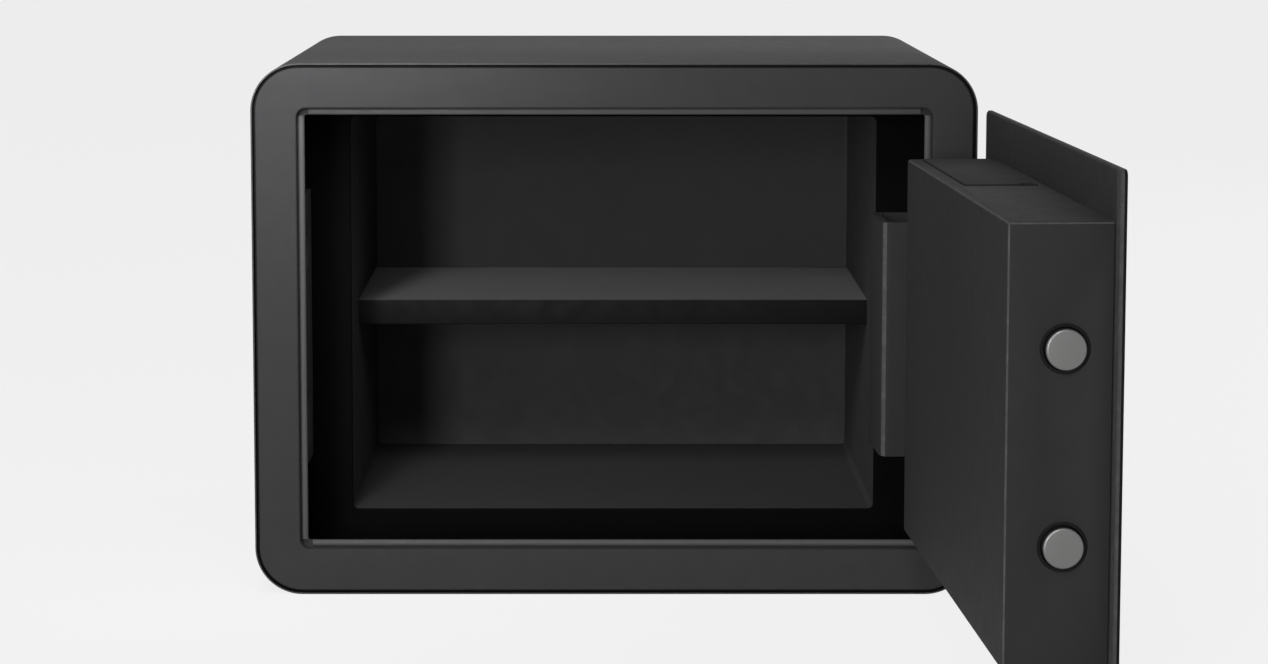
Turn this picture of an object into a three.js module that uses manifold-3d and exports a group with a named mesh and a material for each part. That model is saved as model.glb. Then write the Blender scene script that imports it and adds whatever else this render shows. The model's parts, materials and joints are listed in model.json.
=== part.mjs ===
import * as THREE from 'three';
import { mergeVertices } from 'three/addons/utils/BufferGeometryUtils.js';
import Module from 'manifold-3d';

const wasm = await Module();
wasm.setup();

// A compact steel safe with its door open: X runs right, Y runs back, Z runs up, in millimetres.
// Pieces are drawn with Y as the depth behind the front face, and with the door closed.

// Fits that all pieces share
const seatGap = 0.3;
const endPlay = 0.6;
const runningGap = 0.4;
const slideGap = 0.6;
const cutOverrun = 5;
const cornerSteps = 8;
const smallCornerSteps = 3;
const roundSides = 20;
const fineSides = 32;
const edgeSteps = 3;
const smallEdgeSteps = 2;

// Cabinet
const bodyWidth = 380;
const bodyHeight = 282;
const bodyDepth = 277;
const bodyCornerRadius = 25;
const shellWall = 1;
const shellEdgeRound = 0.7;
const seamWidth = 1.3;
const framePlateThickness = 3;
const frameSkirtDepth = 5;
const frameSkirtWall = 2;
const frameBorderBoltSide = 22.7;
const frameBorderHingeSide = 22.2;
const frameBorderBottom = 23.2;
const frameBorderTop = 22.3;
const openingCornerRadius = 5;
const openingEdgeRound = 2;
const jambWall = 2;
const ledgeWidth = 3.8;
const ledgeDepth = 5.2;
const ledgeThickness = 2;
const rearPanelThickness = 2;

// Liner, which is the inner box
const linerSideSpace = 44;
const linerFloor = 29.5;
const linerRoofSpace = 30;
const linerBehindArm = 3.5;
const linerRearSpace = 16;
const linerWall = 1.5;
const linerCornerRadius = 3;

// Anchor holes and their plugs
const anchorFromLinerSide = 46;
const anchorHoleRadius = 5;
const anchorBelowShelf = 24;
const plugHeadRadius = 8;
const plugHeadThickness = 2;

// Shelf, its rails and the floor mat
const shelfAboveFloor = 112.5;
const shelfBehindMouth = 49;
const shelfThickness = 1.2;
const shelfFlangeHeight = 14;
const shelfSideClearance = 1.4;
const shelfBackClearance = 2;
const railThickness = 1.5;
const railWidth = 10;
const railHeight = 12;
const railFrontSetback = 3;
const matThickness = 1.6;
const matMargin = 3;
const matCornerRadius = 4;

// Hinge
const hingeInset = 8.3;
const hingeDepth = 16;
const restOpeningDegrees = 92.7;
const hingePinRadius = 2.75;
const hingePinHeadRadius = 4.2;
const hingePinHeadHeight = 2;
const pinTail = 4;
const clipThickness = 1.2;
const clipRadius = 4.2;
const bushWall = 0.95;
const bushFlangeThickness = 1;
const bushLength = 12;
const knuckleWall = 1.5;
const armAboveBoxBottom = 38.9;
const armBelowBoxTop = 32.8;
const armPlate = 4;
const armReach = 46.5;
const armFlangeForward = 40;
const armBendRadius = 5;
const lugThickness = 5;
const lugFrontReach = 7.4;
const lugBackReach = 8;
const lugReach = 6.7;
const bracketLegThickness = 2;
const bracketLegHeight = 30;
const bracketLegReach = 24;
const armScrewHeadRadius = 4;
const armScrewHeadHeight = 2;
const armScrewShankRadius = 2;
const armScrewShankReach = 5;
const armScrewInset = 28;
const armScrewFromBoxBack = 13;

// Door
const doorGap = 2;
const doorHingeGap = 3.5;
const skinSetBack = 1.7;
const skinThickness = 2.8;
const skinChamfer = 0.8;
const skinCornerRadius = 3;
const boxFreeMargin = 10;
const boxHingeMargin = 30.7;
const boxBottomMargin = 16.4;
const boxTopMargin = 22.7;
const boxBackDepth = 50;
const boxWall = 1.5;
const boxCornerRadius = 2;

// Bolts and the pieces that drive them
const boltRadius = 9;
const boltDepth = 25;
const boltUpperBelowBoxTop = 54;
const boltLowerAboveBoxBottom = 54.3;
const boltProud = 4;
const boltChamfer = 1.6;
const boltBushWall = 2.4;
const boltBushLength = 13;
const carriageBarInset = 51.3;
const carriageBarThickness = 4;
const carriageBarHalfDepth = 11;
const carriageBarOverhang = 12;
const carriageTongueFront = 14;
const carriageTongueThickness = 2;
const tongueAboveKnob = 5.6;
const tongueHeight = 16.4;
const tonguePastKnob = 16;
const rampStartBeforeKnob = 22;
const rampLength = 24;
const rampRise = 5.33;
const strikeThickness = 3;
const strikeBehindLedge = 1.8;
const strikeLength = 41;
const strikeOverhang = 30;
const strikeHoleClearance = 1.5;

// Knob and crank
const knobFromBoxEdge = 95.3;
const knobRadius = 17;
const knobSkirtRadius = 19;
const knobHeight = 12.5;
const knobSkirtHeight = 3;
const knobEdgeRound = 2;
const knobGripWidth = 9;
const knobGripHeight = 2.5;
const collarRadius = 22;
const collarThickness = 2.5;
const knobShaftRadius = 4;
const knobSocketDepth = 9;
const crankRadius = 17;
const crankFront = 18;
const crankThickness = 3;
const crankPinRadius = 2.5;
const crankPinCircle = 12.73;
const crankPinFront = 12.5;
const crankRestDegrees = 45;
const crankSlotGap = 0.7;

// Lock plate and solenoid
const lockPlateSideMargin = 5.3;
const lockPlatePastKnob = 40;
const lockPlateAboveBoxBottom = 34.4;
const lockPlateBelowBoxTop = 13;
const lockPlateBehindSkin = 2;
const lockPlateThickness = 2;
const lockPlateBossRadius = 5;
const lockPlateBossInset = 10;
const solenoidBeforeKnob = 19;
const solenoidAboveTongue = 10;
const solenoidHeight = 21.5;
const solenoidHalfWidth = 9;
const solenoidThickness = 13.2;
const plungerRadius = 3;
const plungerInBody = 14;
const plungerBoreLength = 19;

// Key lock
const keyBelowBoxTop = 29;
const keyBodyRadius = 9;
const keyFlangeRadius = 11;
const keyFlangeThickness = 1.2;
const keyBodyBack = 22;
const keyPlugRadius = 6;
const keyPlugBack = 26;
const keySlotWidth = 2;
const keySlotHeight = 8;
const keySlotDepth = 6;
const keyTailWidth = 5;
const keyTailReach = 11;
const keyTailThickness = 2;
const keyCoverRadius = 12;
const keyCoverThickness = 2;
const keyCoverPivotRise = 17;
const keyCoverPivotRadius = 2;
const keyCoverBossRadius = 5;

// Keypad
const keypadWidthShare = 0.2769;
const keypadFromBoxEnd = 41.6;
const keypadLength = 108;
const keypadBelowBoxTop = 39;
const keypadHeight = 10;
const keypadBase = 3;
const keypadCornerRadius = 8;
const keypadEdgeRound = 2;
const keyColumns = 3;
const keyRows = 4;
const keyPitchShare = 0.275;
const keyPitchZ = 20;
const keyWidthShare = 0.2125;
const keyHeight = 14;
const keyCornerRadius = 3;
const keyProud = 1.5;
const keyTravel = 1.5;
const keyFieldRise = 20;
const windowWidth = 40;
const windowHeight = 9;
const windowBelowTop = 15;
const windowDepth = 3;
const boardInset = 6;
const boardBehindSkin = 5.5;
const boardThickness = 1.6;
const boardPostRadius = 2.5;
const boardPostInset = 6;
const buzzerRadius = 6;
const buzzerHeight = 7;
const buzzerInset = 16;

// Batteries
const lidLength = 130;
const lidFromBoxEnd = 7.6;
const lidWidth = 34;
const lidFromBoxBack = 7;
const lidThickness = 2;
const lidProud = 0.8;
const lidNotchInset = 1.5;
const lidNotchWidth = 6.5;
const lidNotchLength = 5;
const trayRim = 2;
const trayWall = 1.2;
const trayDepth = 17.5;
const cellRadius = 7.1;
const cellLength = 50;
const cellNubRadius = 2.6;
const cellNubLength = 1.2;

// Places that follow from the sizes above, from the cabinet inwards
const openingLeft = frameBorderBoltSide - bodyWidth / 2;
const openingRight = bodyWidth / 2 - frameBorderHingeSide;
const openingBottom = frameBorderBottom;
const openingTop = bodyHeight - frameBorderTop;
const linerHalfWidth = bodyWidth / 2 - linerSideSpace;
const linerCeiling = bodyHeight - linerRoofSpace;
const anchorX = linerHalfWidth - anchorFromLinerSide;
const linerMouthDepth = hingeDepth + armReach + linerBehindArm;
const linerBackDepth = bodyDepth - linerRearSpace;
const shelfTop = linerFloor + shelfAboveFloor;
const anchorZ = shelfTop - anchorBelowShelf;
const shelfFrontDepth = linerMouthDepth + shelfBehindMouth;
const hingeX = bodyWidth / 2 - hingeInset;
const lugInnerX = hingeX - lugReach;
const lugFrontDepth = hingeDepth - lugFrontReach;
const lugBackDepth = hingeDepth + lugBackReach;
const bracketLegBackDepth = hingeDepth + bracketLegReach;
const shellInnerX = bodyWidth / 2 - shellWall;
const frameInset = shellWall + seamWidth;
const skirtInset = shellWall + seatGap;
const skirtBack = framePlateThickness + frameSkirtDepth;
const ledgeBack = ledgeDepth + ledgeThickness;
const ledgeLeft = openingLeft + ledgeWidth;
const skinLeft = openingLeft + doorGap;
const skinRight = openingRight - doorHingeGap;
const skinBottom = openingBottom + doorGap;
const skinTop = openingTop - doorGap;
const skinBack = skinSetBack + skinThickness;
const boxFront = skinBack + seatGap;
const boxFreeX = skinLeft + boxFreeMargin;
const boxHingeX = skinRight - boxHingeMargin;
const boxBottom = skinBottom + boxBottomMargin;
const boxTop = skinTop - boxTopMargin;
const boltUpperZ = boxTop - boltUpperBelowBoxTop;
const boltLowerZ = boxBottom + boltLowerAboveBoxBottom;
const strikeFrontDepth = ledgeBack + strikeBehindLedge;
const strikeBackDepth = strikeFrontDepth + strikeLength;
const armBottom = boxBottom + armAboveBoxBottom;
const armTop = boxTop - armBelowBoxTop;
const armScrewDepth = boxBackDepth - armScrewFromBoxBack;
const knobX = boxFreeX + knobFromBoxEdge;
const knobZ = (boltUpperZ + boltLowerZ) / 2;
const carriageBarX = boxFreeX + carriageBarInset;
const carriageTongueBottom = knobZ + tongueAboveKnob;
const carriageTongueTop = carriageTongueBottom + tongueHeight;
const carriageTongueEnd = knobX + tonguePastKnob;
const rampStartX = knobX - rampStartBeforeKnob;
const rampEndX = rampStartX + rampLength;
const lockPlateLeft = boxFreeX + lockPlateSideMargin;
const lockPlateRight = knobX + lockPlatePastKnob;
const lockPlateBottom = boxBottom + lockPlateAboveBoxBottom;
const lockPlateTop = boxTop - lockPlateBelowBoxTop;
const lockPlateFront = skinBack + lockPlateBehindSkin;
const lockPlateBack = lockPlateFront + lockPlateThickness;
const solenoidX = knobX - solenoidBeforeKnob;
const solenoidBottom = carriageTongueTop + solenoidAboveTongue;
const solenoidTop = solenoidBottom + solenoidHeight;
const solenoidBack = lockPlateBack + seatGap + solenoidThickness;
const plungerTopZ = solenoidBottom + plungerInBody;
const plungerBoreTop = solenoidBottom + plungerBoreLength;
const keyX = knobX;
const keyZ = boxTop - keyBelowBoxTop;
const keyFace = skinSetBack - seatGap - keyFlangeThickness;
const keypadWidth = (boxHingeX - boxFreeX) * keypadWidthShare;
const keyPitchX = keypadWidth * keyPitchShare;
const keyWidth = keypadWidth * keyWidthShare;
const keypadRight = boxHingeX - keypadFromBoxEnd;
const keypadLeft = keypadRight - keypadWidth;
const keypadTop = boxTop - keypadBelowBoxTop;
const keypadBottom = keypadTop - keypadLength;
const boardFront = skinBack + boardBehindSkin;
const lidRight = boxHingeX - lidFromBoxEnd;
const lidLeft = lidRight - lidLength;
const lidBack = boxBackDepth - lidFromBoxBack;
const lidFront = lidBack - lidWidth;
const boltHeights = [boltUpperZ, boltLowerZ];
const boltTipX = boxFreeX - boltProud;
const bushInnerRadius = hingePinRadius + seatGap;
const bushOuterRadius = bushInnerRadius + bushWall;
const knuckleBore = bushOuterRadius + seatGap;
const knuckleRadius = knuckleBore + knuckleWall;
const rampSlope = rampRise / (rampEndX - rampStartX);
const keypadFace = skinSetBack - keypadHeight;
const armFlangeX = boxHingeX + seatGap;
const armScrewHeights = [armTop - armScrewInset, armBottom + armScrewInset];

// A solid made from a geometry, with its shared corners merged and its faces pointing out
function solid(geometry) {
  const bare = new THREE.BufferGeometry();
  bare.setAttribute('position', geometry.attributes.position.clone());
  if (geometry.index) bare.setIndex(geometry.index.clone());
  const merged = mergeVertices(bare);
  const places = merged.attributes.position.array;
  const corners = Array.from(merged.index.array);
  if (volumeOf(places, corners) < 0) corners.reverse();
  return new wasm.Manifold(new wasm.Mesh({
    numProp: 3,
    vertProperties: new Float32Array(places),
    triVerts: new Uint32Array(corners),
  }));
}

function volumeOf(places, corners) {
  const at = (corner) => new THREE.Vector3().fromArray(places, corner * 3);
  let sum = 0;
  for (let face = 0; face < corners.length; face += 3) {
    const [a, b, c] = [at(corners[face]), at(corners[face + 1]), at(corners[face + 2])];
    sum += a.dot(b.cross(c));
  }
  return sum;
}

function geometryOf(body) {
  const { vertProperties, triVerts } = body.getMesh();
  const geometry = new THREE.BufferGeometry();
  geometry.setAttribute('position', new THREE.BufferAttribute(new Float32Array(vertProperties), 3));
  geometry.setIndex(new THREE.BufferAttribute(new Uint32Array(triVerts), 1));
  geometry.computeVertexNormals();
  return geometry;
}

function joined(bodies) {
  return bodies.reduce((whole, body) => whole.add(body));
}

function cut(body, tools) {
  return tools.reduce((whole, tool) => whole.subtract(tool), body);
}

// A rectangle with round corners
function roundedOutline(left, right, bottom, top, radius, cornerCount = smallCornerSteps) {
  const centres = [
    [right - radius, top - radius],
    [left + radius, top - radius],
    [left + radius, bottom + radius],
    [right - radius, bottom + radius],
  ];
  return centres.flatMap(([x, y], quarter) => {
    const steps = Array.from({ length: cornerCount + 1 }, (_, step) => quarter + step / cornerCount);
    return steps.map((turn) => new THREE.Vector2(
      x + radius * Math.cos(turn * Math.PI / 2),
      y + radius * Math.sin(turn * Math.PI / 2),
    ));
  });
}

// The cabinet's front outline, drawn in by an inset
function bodyOutline(inset) {
  return roundedOutline(
    inset - bodyWidth / 2,
    bodyWidth / 2 - inset,
    inset,
    bodyHeight - inset,
    bodyCornerRadius - inset,
    cornerSteps,
  );
}

// The door opening's outline, grown by an amount
function openingOutline(growth) {
  return roundedOutline(
    openingLeft - growth,
    openingRight + growth,
    openingBottom - growth,
    openingTop + growth,
    openingCornerRadius + growth,
  );
}

// A front-facing outline in X and Z, drawn out from one depth to another
function upright(outline, front, back) {
  const shape = new THREE.Shape(outline);
  const geometry = new THREE.ExtrudeGeometry(shape, { depth: back - front, bevelEnabled: false });
  geometry.rotateX(Math.PI / 2);
  geometry.translate(0, back, 0);
  return solid(geometry);
}

// A plan outline in X and depth, drawn up from one height to another
function level(outline, bottom, top) {
  const shape = new THREE.Shape(outline);
  const geometry = new THREE.ExtrudeGeometry(shape, { depth: top - bottom, bevelEnabled: false });
  geometry.translate(0, 0, bottom);
  return solid(geometry);
}

// A solid through front-facing outlines of equal length, each at its own depth
function loft(layers) {
  const places = layers.flatMap(({ outline, depth }) => outline.flatMap(({ x, y }) => [x, depth, y]));
  const count = layers[0].outline.length;
  const corners = [];
  for (let layer = 0; layer + 1 < layers.length; layer += 1) {
    for (let step = 0; step < count; step += 1) {
      const near = layer * count + step;
      const next = layer * count + (step + 1) % count;
      corners.push(near, next, next + count, near, next + count, near + count);
    }
  }
  const last = (layers.length - 1) * count;
  for (let step = 1; step + 1 < count; step += 1) {
    corners.push(0, step + 1, step, last, last + step, last + step + 1);
  }
  const geometry = new THREE.BufferGeometry();
  geometry.setAttribute('position', new THREE.Float32BufferAttribute(places, 3));
  geometry.setIndex(corners);
  return solid(geometry);
}

function block(left, right, front, back, bottom, top) {
  const geometry = new THREE.BoxGeometry(right - left, back - front, top - bottom);
  geometry.translate((left + right) / 2, (front + back) / 2, (bottom + top) / 2);
  return solid(geometry);
}

function rodAlongDepth(x, z, radius, front, back, sides = roundSides) {
  const geometry = new THREE.CylinderGeometry(radius, radius, back - front, sides);
  geometry.translate(x, (front + back) / 2, z);
  return solid(geometry);
}

function rodAlongWidth(depth, z, radius, left, right, sides = roundSides) {
  const geometry = new THREE.CylinderGeometry(radius, radius, right - left, sides);
  geometry.rotateZ(Math.PI / 2);
  geometry.translate((left + right) / 2, depth, z);
  return solid(geometry);
}

function rodAlongHeight(x, depth, radius, bottom, top, sides = roundSides) {
  const geometry = new THREE.CylinderGeometry(radius, radius, top - bottom, sides);
  geometry.rotateX(Math.PI / 2);
  geometry.translate(x, depth, (bottom + top) / 2);
  return solid(geometry);
}

// A turned piece whose axis runs along the depth, from radius and depth pairs
function turned(x, z, profile) {
  const points = profile.map(([radius, depth]) => new THREE.Vector2(radius, depth));
  const geometry = new THREE.LatheGeometry(points, fineSides);
  geometry.translate(x, 0, z);
  return solid(geometry);
}

// Quarter-round steps: how far the outline and the depth have moved at each step
function quarterRound(radius, stepCount = smallEdgeSteps) {
  return Array.from({ length: stepCount + 1 }, (_, step) => {
    const turn = step / stepCount * Math.PI / 2;
    return { across: radius * (1 - Math.sin(turn)), along: radius * (1 - Math.cos(turn)) };
  });
}

// The one-piece wrap of the cabinet, open at both ends, with a rounded front edge
function outerShell() {
  const lip = quarterRound(shellEdgeRound).map(({ across, along }) => ({
    outline: bodyOutline(across),
    depth: along,
  }));
  const wrap = loft([...lip, { outline: bodyOutline(0), depth: bodyDepth }]);
  const inside = upright(bodyOutline(shellWall), -cutOverrun, bodyDepth + cutOverrun);
  return cut(wrap, [inside]);
}

// The front plate with its folded skirt, the jamb round the opening and the ledge behind the door
function frontFrame() {
  const plate = upright(bodyOutline(frameInset), 0, framePlateThickness);
  const skirtInner = bodyOutline(skirtInset + frameSkirtWall);
  const skirt = cut(upright(bodyOutline(skirtInset), framePlateThickness, skirtBack), [
    upright(skirtInner, framePlateThickness - cutOverrun, skirtBack + cutOverrun),
  ]);
  const jamb = upright(openingOutline(jambWall), 0, ledgeBack);
  const edge = quarterRound(openingEdgeRound, edgeSteps).map(({ across, along }) => ({
    outline: openingOutline(across),
    depth: along,
  }));
  const mouth = loft([
    { outline: openingOutline(openingEdgeRound), depth: -cutOverrun },
    ...edge,
    { outline: openingOutline(0), depth: ledgeDepth },
  ]);
  const through = upright(openingOutline(-ledgeWidth), -cutOverrun, ledgeBack + cutOverrun);
  return cut(joined([plate, skirt, jamb]), [mouth, through]);
}

// The inner box with the flange that closes the space round it
function innerLiner() {
  const flange = upright(bodyOutline(skirtInset), linerMouthDepth, linerMouthDepth + linerWall);
  const wrap = upright(
    linerOutline(linerWall),
    linerMouthDepth,
    linerBackDepth + linerWall,
  );
  const cavity = upright(linerOutline(0), linerMouthDepth - cutOverrun, linerBackDepth);
  return cut(joined([flange, wrap]), [cavity, ...rearAnchorHoles(linerBackDepth)]);
}

function linerOutline(growth) {
  return roundedOutline(
    -linerHalfWidth - growth,
    linerHalfWidth + growth,
    linerFloor - growth,
    linerCeiling + growth,
    linerCornerRadius + growth,
  );
}

function rearAnchorHoles(front) {
  const back = bodyDepth + cutOverrun;
  return [-1, 1].map((side) => (
    rodAlongDepth(side * anchorX, anchorZ, anchorHoleRadius, front - cutOverrun, back)
  ));
}

function rearPanel() {
  const front = bodyDepth - rearPanelThickness;
  return cut(upright(bodyOutline(shellWall + seatGap), front, bodyDepth), rearAnchorHoles(front));
}

// A plug pushed into one anchor hole from inside the liner, so that the cabinet's back stays flat
function anchorPlug(side) {
  const seat = linerBackDepth - seatGap;
  const headFront = seat - plugHeadThickness;
  const x = side * anchorX;
  return joined([
    rodAlongDepth(x, anchorZ, plugHeadRadius, headFront, seat),
    rodAlongDepth(x, anchorZ, anchorHoleRadius - seatGap, headFront, bodyDepth - seatGap),
  ]);
}

// A thin felt mat on the liner's floor
function floorMat() {
  const outline = roundedOutline(
    matMargin - linerHalfWidth,
    linerHalfWidth - matMargin,
    linerMouthDepth + matMargin,
    linerBackDepth - matMargin,
    matCornerRadius,
  );
  const bottom = linerFloor + seatGap;
  return level(outline, bottom, bottom + matThickness);
}

// A folded tray: flat top, front flange turned down and a short rear flange
function shelfTray() {
  const half = linerHalfWidth - shelfSideClearance;
  const back = linerBackDepth - shelfBackClearance;
  const top = block(-half, half, shelfFrontDepth, back, shelfTop - shelfThickness, shelfTop);
  const front = block(
    -half,
    half,
    shelfFrontDepth,
    shelfFrontDepth + shelfThickness,
    shelfTop - shelfFlangeHeight,
    shelfTop,
  );
  return joined([top, front]);
}

// An angle on the liner's side wall that carries the shelf
function shelfRail(side) {
  const outer = linerHalfWidth - seatGap;
  const top = shelfTop - shelfThickness - seatGap;
  const front = shelfFrontDepth + shelfThickness + railFrontSetback;
  const back = linerBackDepth - seatGap;
  const [wallLeft, wallRight] = [side * outer, side * (outer - railThickness)].sort((a, b) => a - b);
  const [seatLeft, seatRight] = [side * outer, side * (outer - railWidth)].sort((a, b) => a - b);
  return joined([
    block(wallLeft, wallRight, front, back, top - railHeight, top),
    block(seatLeft, seatRight, front, back, top - railThickness, top),
  ]);
}

// The plate that takes the bolts, with a web out to the cabinet wall
function strikePlate() {
  const bottom = boltLowerZ - strikeOverhang;
  const top = boltUpperZ + strikeOverhang;
  const right = ledgeLeft;
  const face = block(right - strikeThickness, right, strikeFrontDepth, strikeBackDepth, bottom, top);
  const web = block(
    seatGap - shellInnerX,
    right,
    strikeBackDepth,
    strikeBackDepth + strikeThickness,
    bottom,
    top,
  );
  const holeStart = right - strikeThickness - cutOverrun;
  const holes = boltHeights.map((z) => (
    rodAlongWidth(boltDepth, z, boltRadius + strikeHoleClearance, holeStart, right + cutOverrun)
  ));
  return cut(joined([face, web]), holes);
}

// The lug that holds one end of the hinge pin, with a leg on the cabinet wall.
// The side is 1 above the arm and -1 below it.
function hingeBracket(side) {
  const start = (side > 0 ? armTop : armBottom) + side * (bushFlangeThickness + endPlay);
  const end = start + side * lugThickness;
  const legEnd = start + side * bracketLegHeight;
  const wall = shellInnerX - seatGap;
  const lug = block(lugInnerX, wall, lugFrontDepth, lugBackDepth, Math.min(start, end), Math.max(start, end));
  const leg = block(
    wall - bracketLegThickness,
    wall,
    lugFrontDepth,
    bracketLegBackDepth,
    Math.min(start, legEnd),
    Math.max(start, legEnd),
  );
  const bore = rodAlongHeight(
    hingeX,
    hingeDepth,
    hingePinRadius + seatGap,
    Math.min(start, legEnd) - cutOverrun,
    Math.max(start, legEnd) + cutOverrun,
  );
  return cut(joined([lug, leg]), [bore]);
}

function hingePin() {
  const reach = bushFlangeThickness + endPlay + lugThickness;
  const headSeat = armTop + reach + seatGap;
  return joined([
    rodAlongHeight(hingeX, hingeDepth, hingePinRadius, armBottom - reach - pinTail, headSeat),
    rodAlongHeight(hingeX, hingeDepth, hingePinHeadRadius, headSeat, headSeat + hingePinHeadHeight),
  ]);
}

function hingePinClip() {
  const top = armBottom - bushFlangeThickness - endPlay - lugThickness - seatGap;
  const bottom = top - clipThickness;
  return cut(rodAlongHeight(hingeX, hingeDepth, clipRadius, bottom, top), [
    rodAlongHeight(hingeX, hingeDepth, hingePinRadius + seatGap, bottom - cutOverrun, top + cutOverrun),
  ]);
}

// A flanged sleeve between the pin and one end of the arm's knuckle
function hingeBush(side) {
  const end = side > 0 ? armTop : armBottom;
  const flange = [end + side * seatGap, end + side * (seatGap + bushFlangeThickness)].sort((a, b) => a - b);
  const sleeve = [end + side * seatGap, end - side * bushLength].sort((a, b) => a - b);
  const body = joined([
    rodAlongHeight(hingeX, hingeDepth, knuckleRadius, flange[0], flange[1]),
    rodAlongHeight(hingeX, hingeDepth, bushOuterRadius, sleeve[0], sleeve[1]),
  ]);
  return cut(body, [
    rodAlongHeight(hingeX, hingeDepth, bushInnerRadius, sleeve[0] - cutOverrun, sleeve[1] + cutOverrun),
  ]);
}

// The swan-neck arm: back from the pin, across behind the door's end, and forward along the door box
function hingeArm() {
  const back = hingeDepth + armReach;
  const inner = back - armPlate;
  const right = hingeX + armPlate / 2;
  const flangeEnd = back - armFlangeForward;
  const outer = roundedOutline(armFlangeX, right, flangeEnd - armBendRadius, back, armBendRadius);
  const gullet = roundedOutline(
    armFlangeX + armPlate,
    right - armPlate,
    hingeDepth - cutOverrun - armFlangeForward,
    inner,
    armBendRadius - armPlate / 2,
  );
  const loop = cut(level(outer, armBottom, armTop), [
    level(gullet, armBottom - cutOverrun, armTop + cutOverrun),
    block(
      armFlangeX - cutOverrun,
      right + cutOverrun,
      flangeEnd - armBendRadius - cutOverrun,
      flangeEnd,
      armBottom - cutOverrun,
      armTop + cutOverrun,
    ),
  ]);
  const neck = block(right - armPlate, right, hingeDepth, flangeEnd + cutOverrun, armBottom, armTop);
  const knuckle = rodAlongHeight(hingeX, hingeDepth, knuckleRadius, armBottom, armTop);
  const bore = rodAlongHeight(hingeX, hingeDepth, knuckleBore, armBottom - cutOverrun, armTop + cutOverrun);
  return cut(joined([loop, neck, knuckle]), [bore, ...armScrewHoles()]);
}

function armScrewHoles() {
  return armScrewHeights.map((z) => rodAlongWidth(
    armScrewDepth,
    z,
    armScrewShankRadius + seatGap,
    boxHingeX - boxWall - cutOverrun,
    armFlangeX + armPlate + cutOverrun,
  ));
}

function armScrew(z) {
  const seat = armFlangeX + armPlate + seatGap;
  return joined([
    rodAlongWidth(armScrewDepth, z, armScrewHeadRadius, seat, seat + armScrewHeadHeight),
    rodAlongWidth(armScrewDepth, z, armScrewShankRadius, seat - armPlate - armScrewShankReach, seat),
  ]);
}

// The door's front plate, chamfered all round on its inner side
function doorSkin() {
  const outline = (inset) => roundedOutline(
    skinLeft + inset,
    skinRight - inset,
    skinBottom + inset,
    skinTop - inset,
    skinCornerRadius,
  );
  const plate = loft([
    { outline: outline(0), depth: skinSetBack },
    { outline: outline(0), depth: skinBack - skinChamfer },
    { outline: outline(skinChamfer), depth: skinBack },
  ]);
  const pivotZ = keyZ + keyCoverPivotRise;
  const throughBack = skinBack + cutOverrun;
  return cut(plate, [
    rodAlongDepth(knobX, knobZ, knobShaftRadius + slideGap, -cutOverrun, throughBack),
    rodAlongDepth(keyX, keyZ, keyBodyRadius + runningGap, -cutOverrun, throughBack),
    rodAlongDepth(keyX, pivotZ, keyCoverPivotRadius + seatGap, -cutOverrun, throughBack),
  ]);
}

// The folded pan behind the door plate, which holds the lock
function doorBox() {
  const pan = upright(boxOutline(0), boxFront, boxBackDepth);
  const inside = upright(boxOutline(boxWall), boxFront - cutOverrun, boxBackDepth - boxWall);
  const boltHoles = boltHeights.map((z) => rodAlongWidth(
    boltDepth,
    z,
    boltRadius + slideGap,
    boxFreeX - cutOverrun,
    boxFreeX + boxWall + cutOverrun,
    fineSides,
  ));
  const lidHole = block(
    lidLeft - slideGap,
    lidRight + slideGap,
    lidFront - slideGap,
    lidBack + slideGap,
    boxTop - boxWall - cutOverrun,
    boxTop + cutOverrun,
  );
  return cut(pan, [inside, ...boltHoles, lidHole, ...armScrewHoles()]);
}

function boxOutline(inset) {
  return roundedOutline(
    boxFreeX + inset,
    boxHingeX - inset,
    boxBottom + inset,
    boxTop - inset,
    boxCornerRadius,
  );
}

// A plate on four bosses that carries the bolt work
function lockPlate() {
  const plate = block(
    lockPlateLeft,
    lockPlateRight,
    lockPlateFront,
    lockPlateBack,
    lockPlateBottom,
    lockPlateTop,
  );
  const bosses = [lockPlateLeft + lockPlateBossInset, lockPlateRight - lockPlateBossInset].flatMap((x) => (
    [lockPlateBottom + lockPlateBossInset, lockPlateTop - lockPlateBossInset].map((z) => (
      rodAlongDepth(x, z, lockPlateBossRadius, skinBack + seatGap, lockPlateBack)
    ))
  ));
  return cut(joined([plate, ...bosses]), [
    rodAlongDepth(knobX, knobZ, knobShaftRadius + slideGap, -cutOverrun, lockPlateBack + cutOverrun),
    rodAlongDepth(keyX, keyZ, keyBodyRadius + runningGap, -cutOverrun, lockPlateBack + cutOverrun),
  ]);
}

// One round bolt with a chamfered tip
function bolt(z) {
  const shank = new THREE.LatheGeometry([
    new THREE.Vector2(0, 0),
    new THREE.Vector2(boltRadius - boltChamfer, 0),
    new THREE.Vector2(boltRadius, boltChamfer),
    new THREE.Vector2(boltRadius, carriageBarX - seatGap - boltTipX),
    new THREE.Vector2(0, carriageBarX - seatGap - boltTipX),
  ], fineSides);
  shank.rotateZ(-Math.PI / 2);
  shank.translate(boltTipX, boltDepth, z);
  return solid(shank);
}

// The sleeve behind the door box wall that guides one bolt
function boltBush(z) {
  const left = boxFreeX + boxWall + seatGap;
  const right = left + boltBushLength;
  const inner = boltRadius + slideGap;
  return cut(rodAlongWidth(boltDepth, z, inner + boltBushWall, left, right, fineSides), [
    rodAlongWidth(boltDepth, z, inner, left - cutOverrun, right + cutOverrun, fineSides),
  ]);
}

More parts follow.
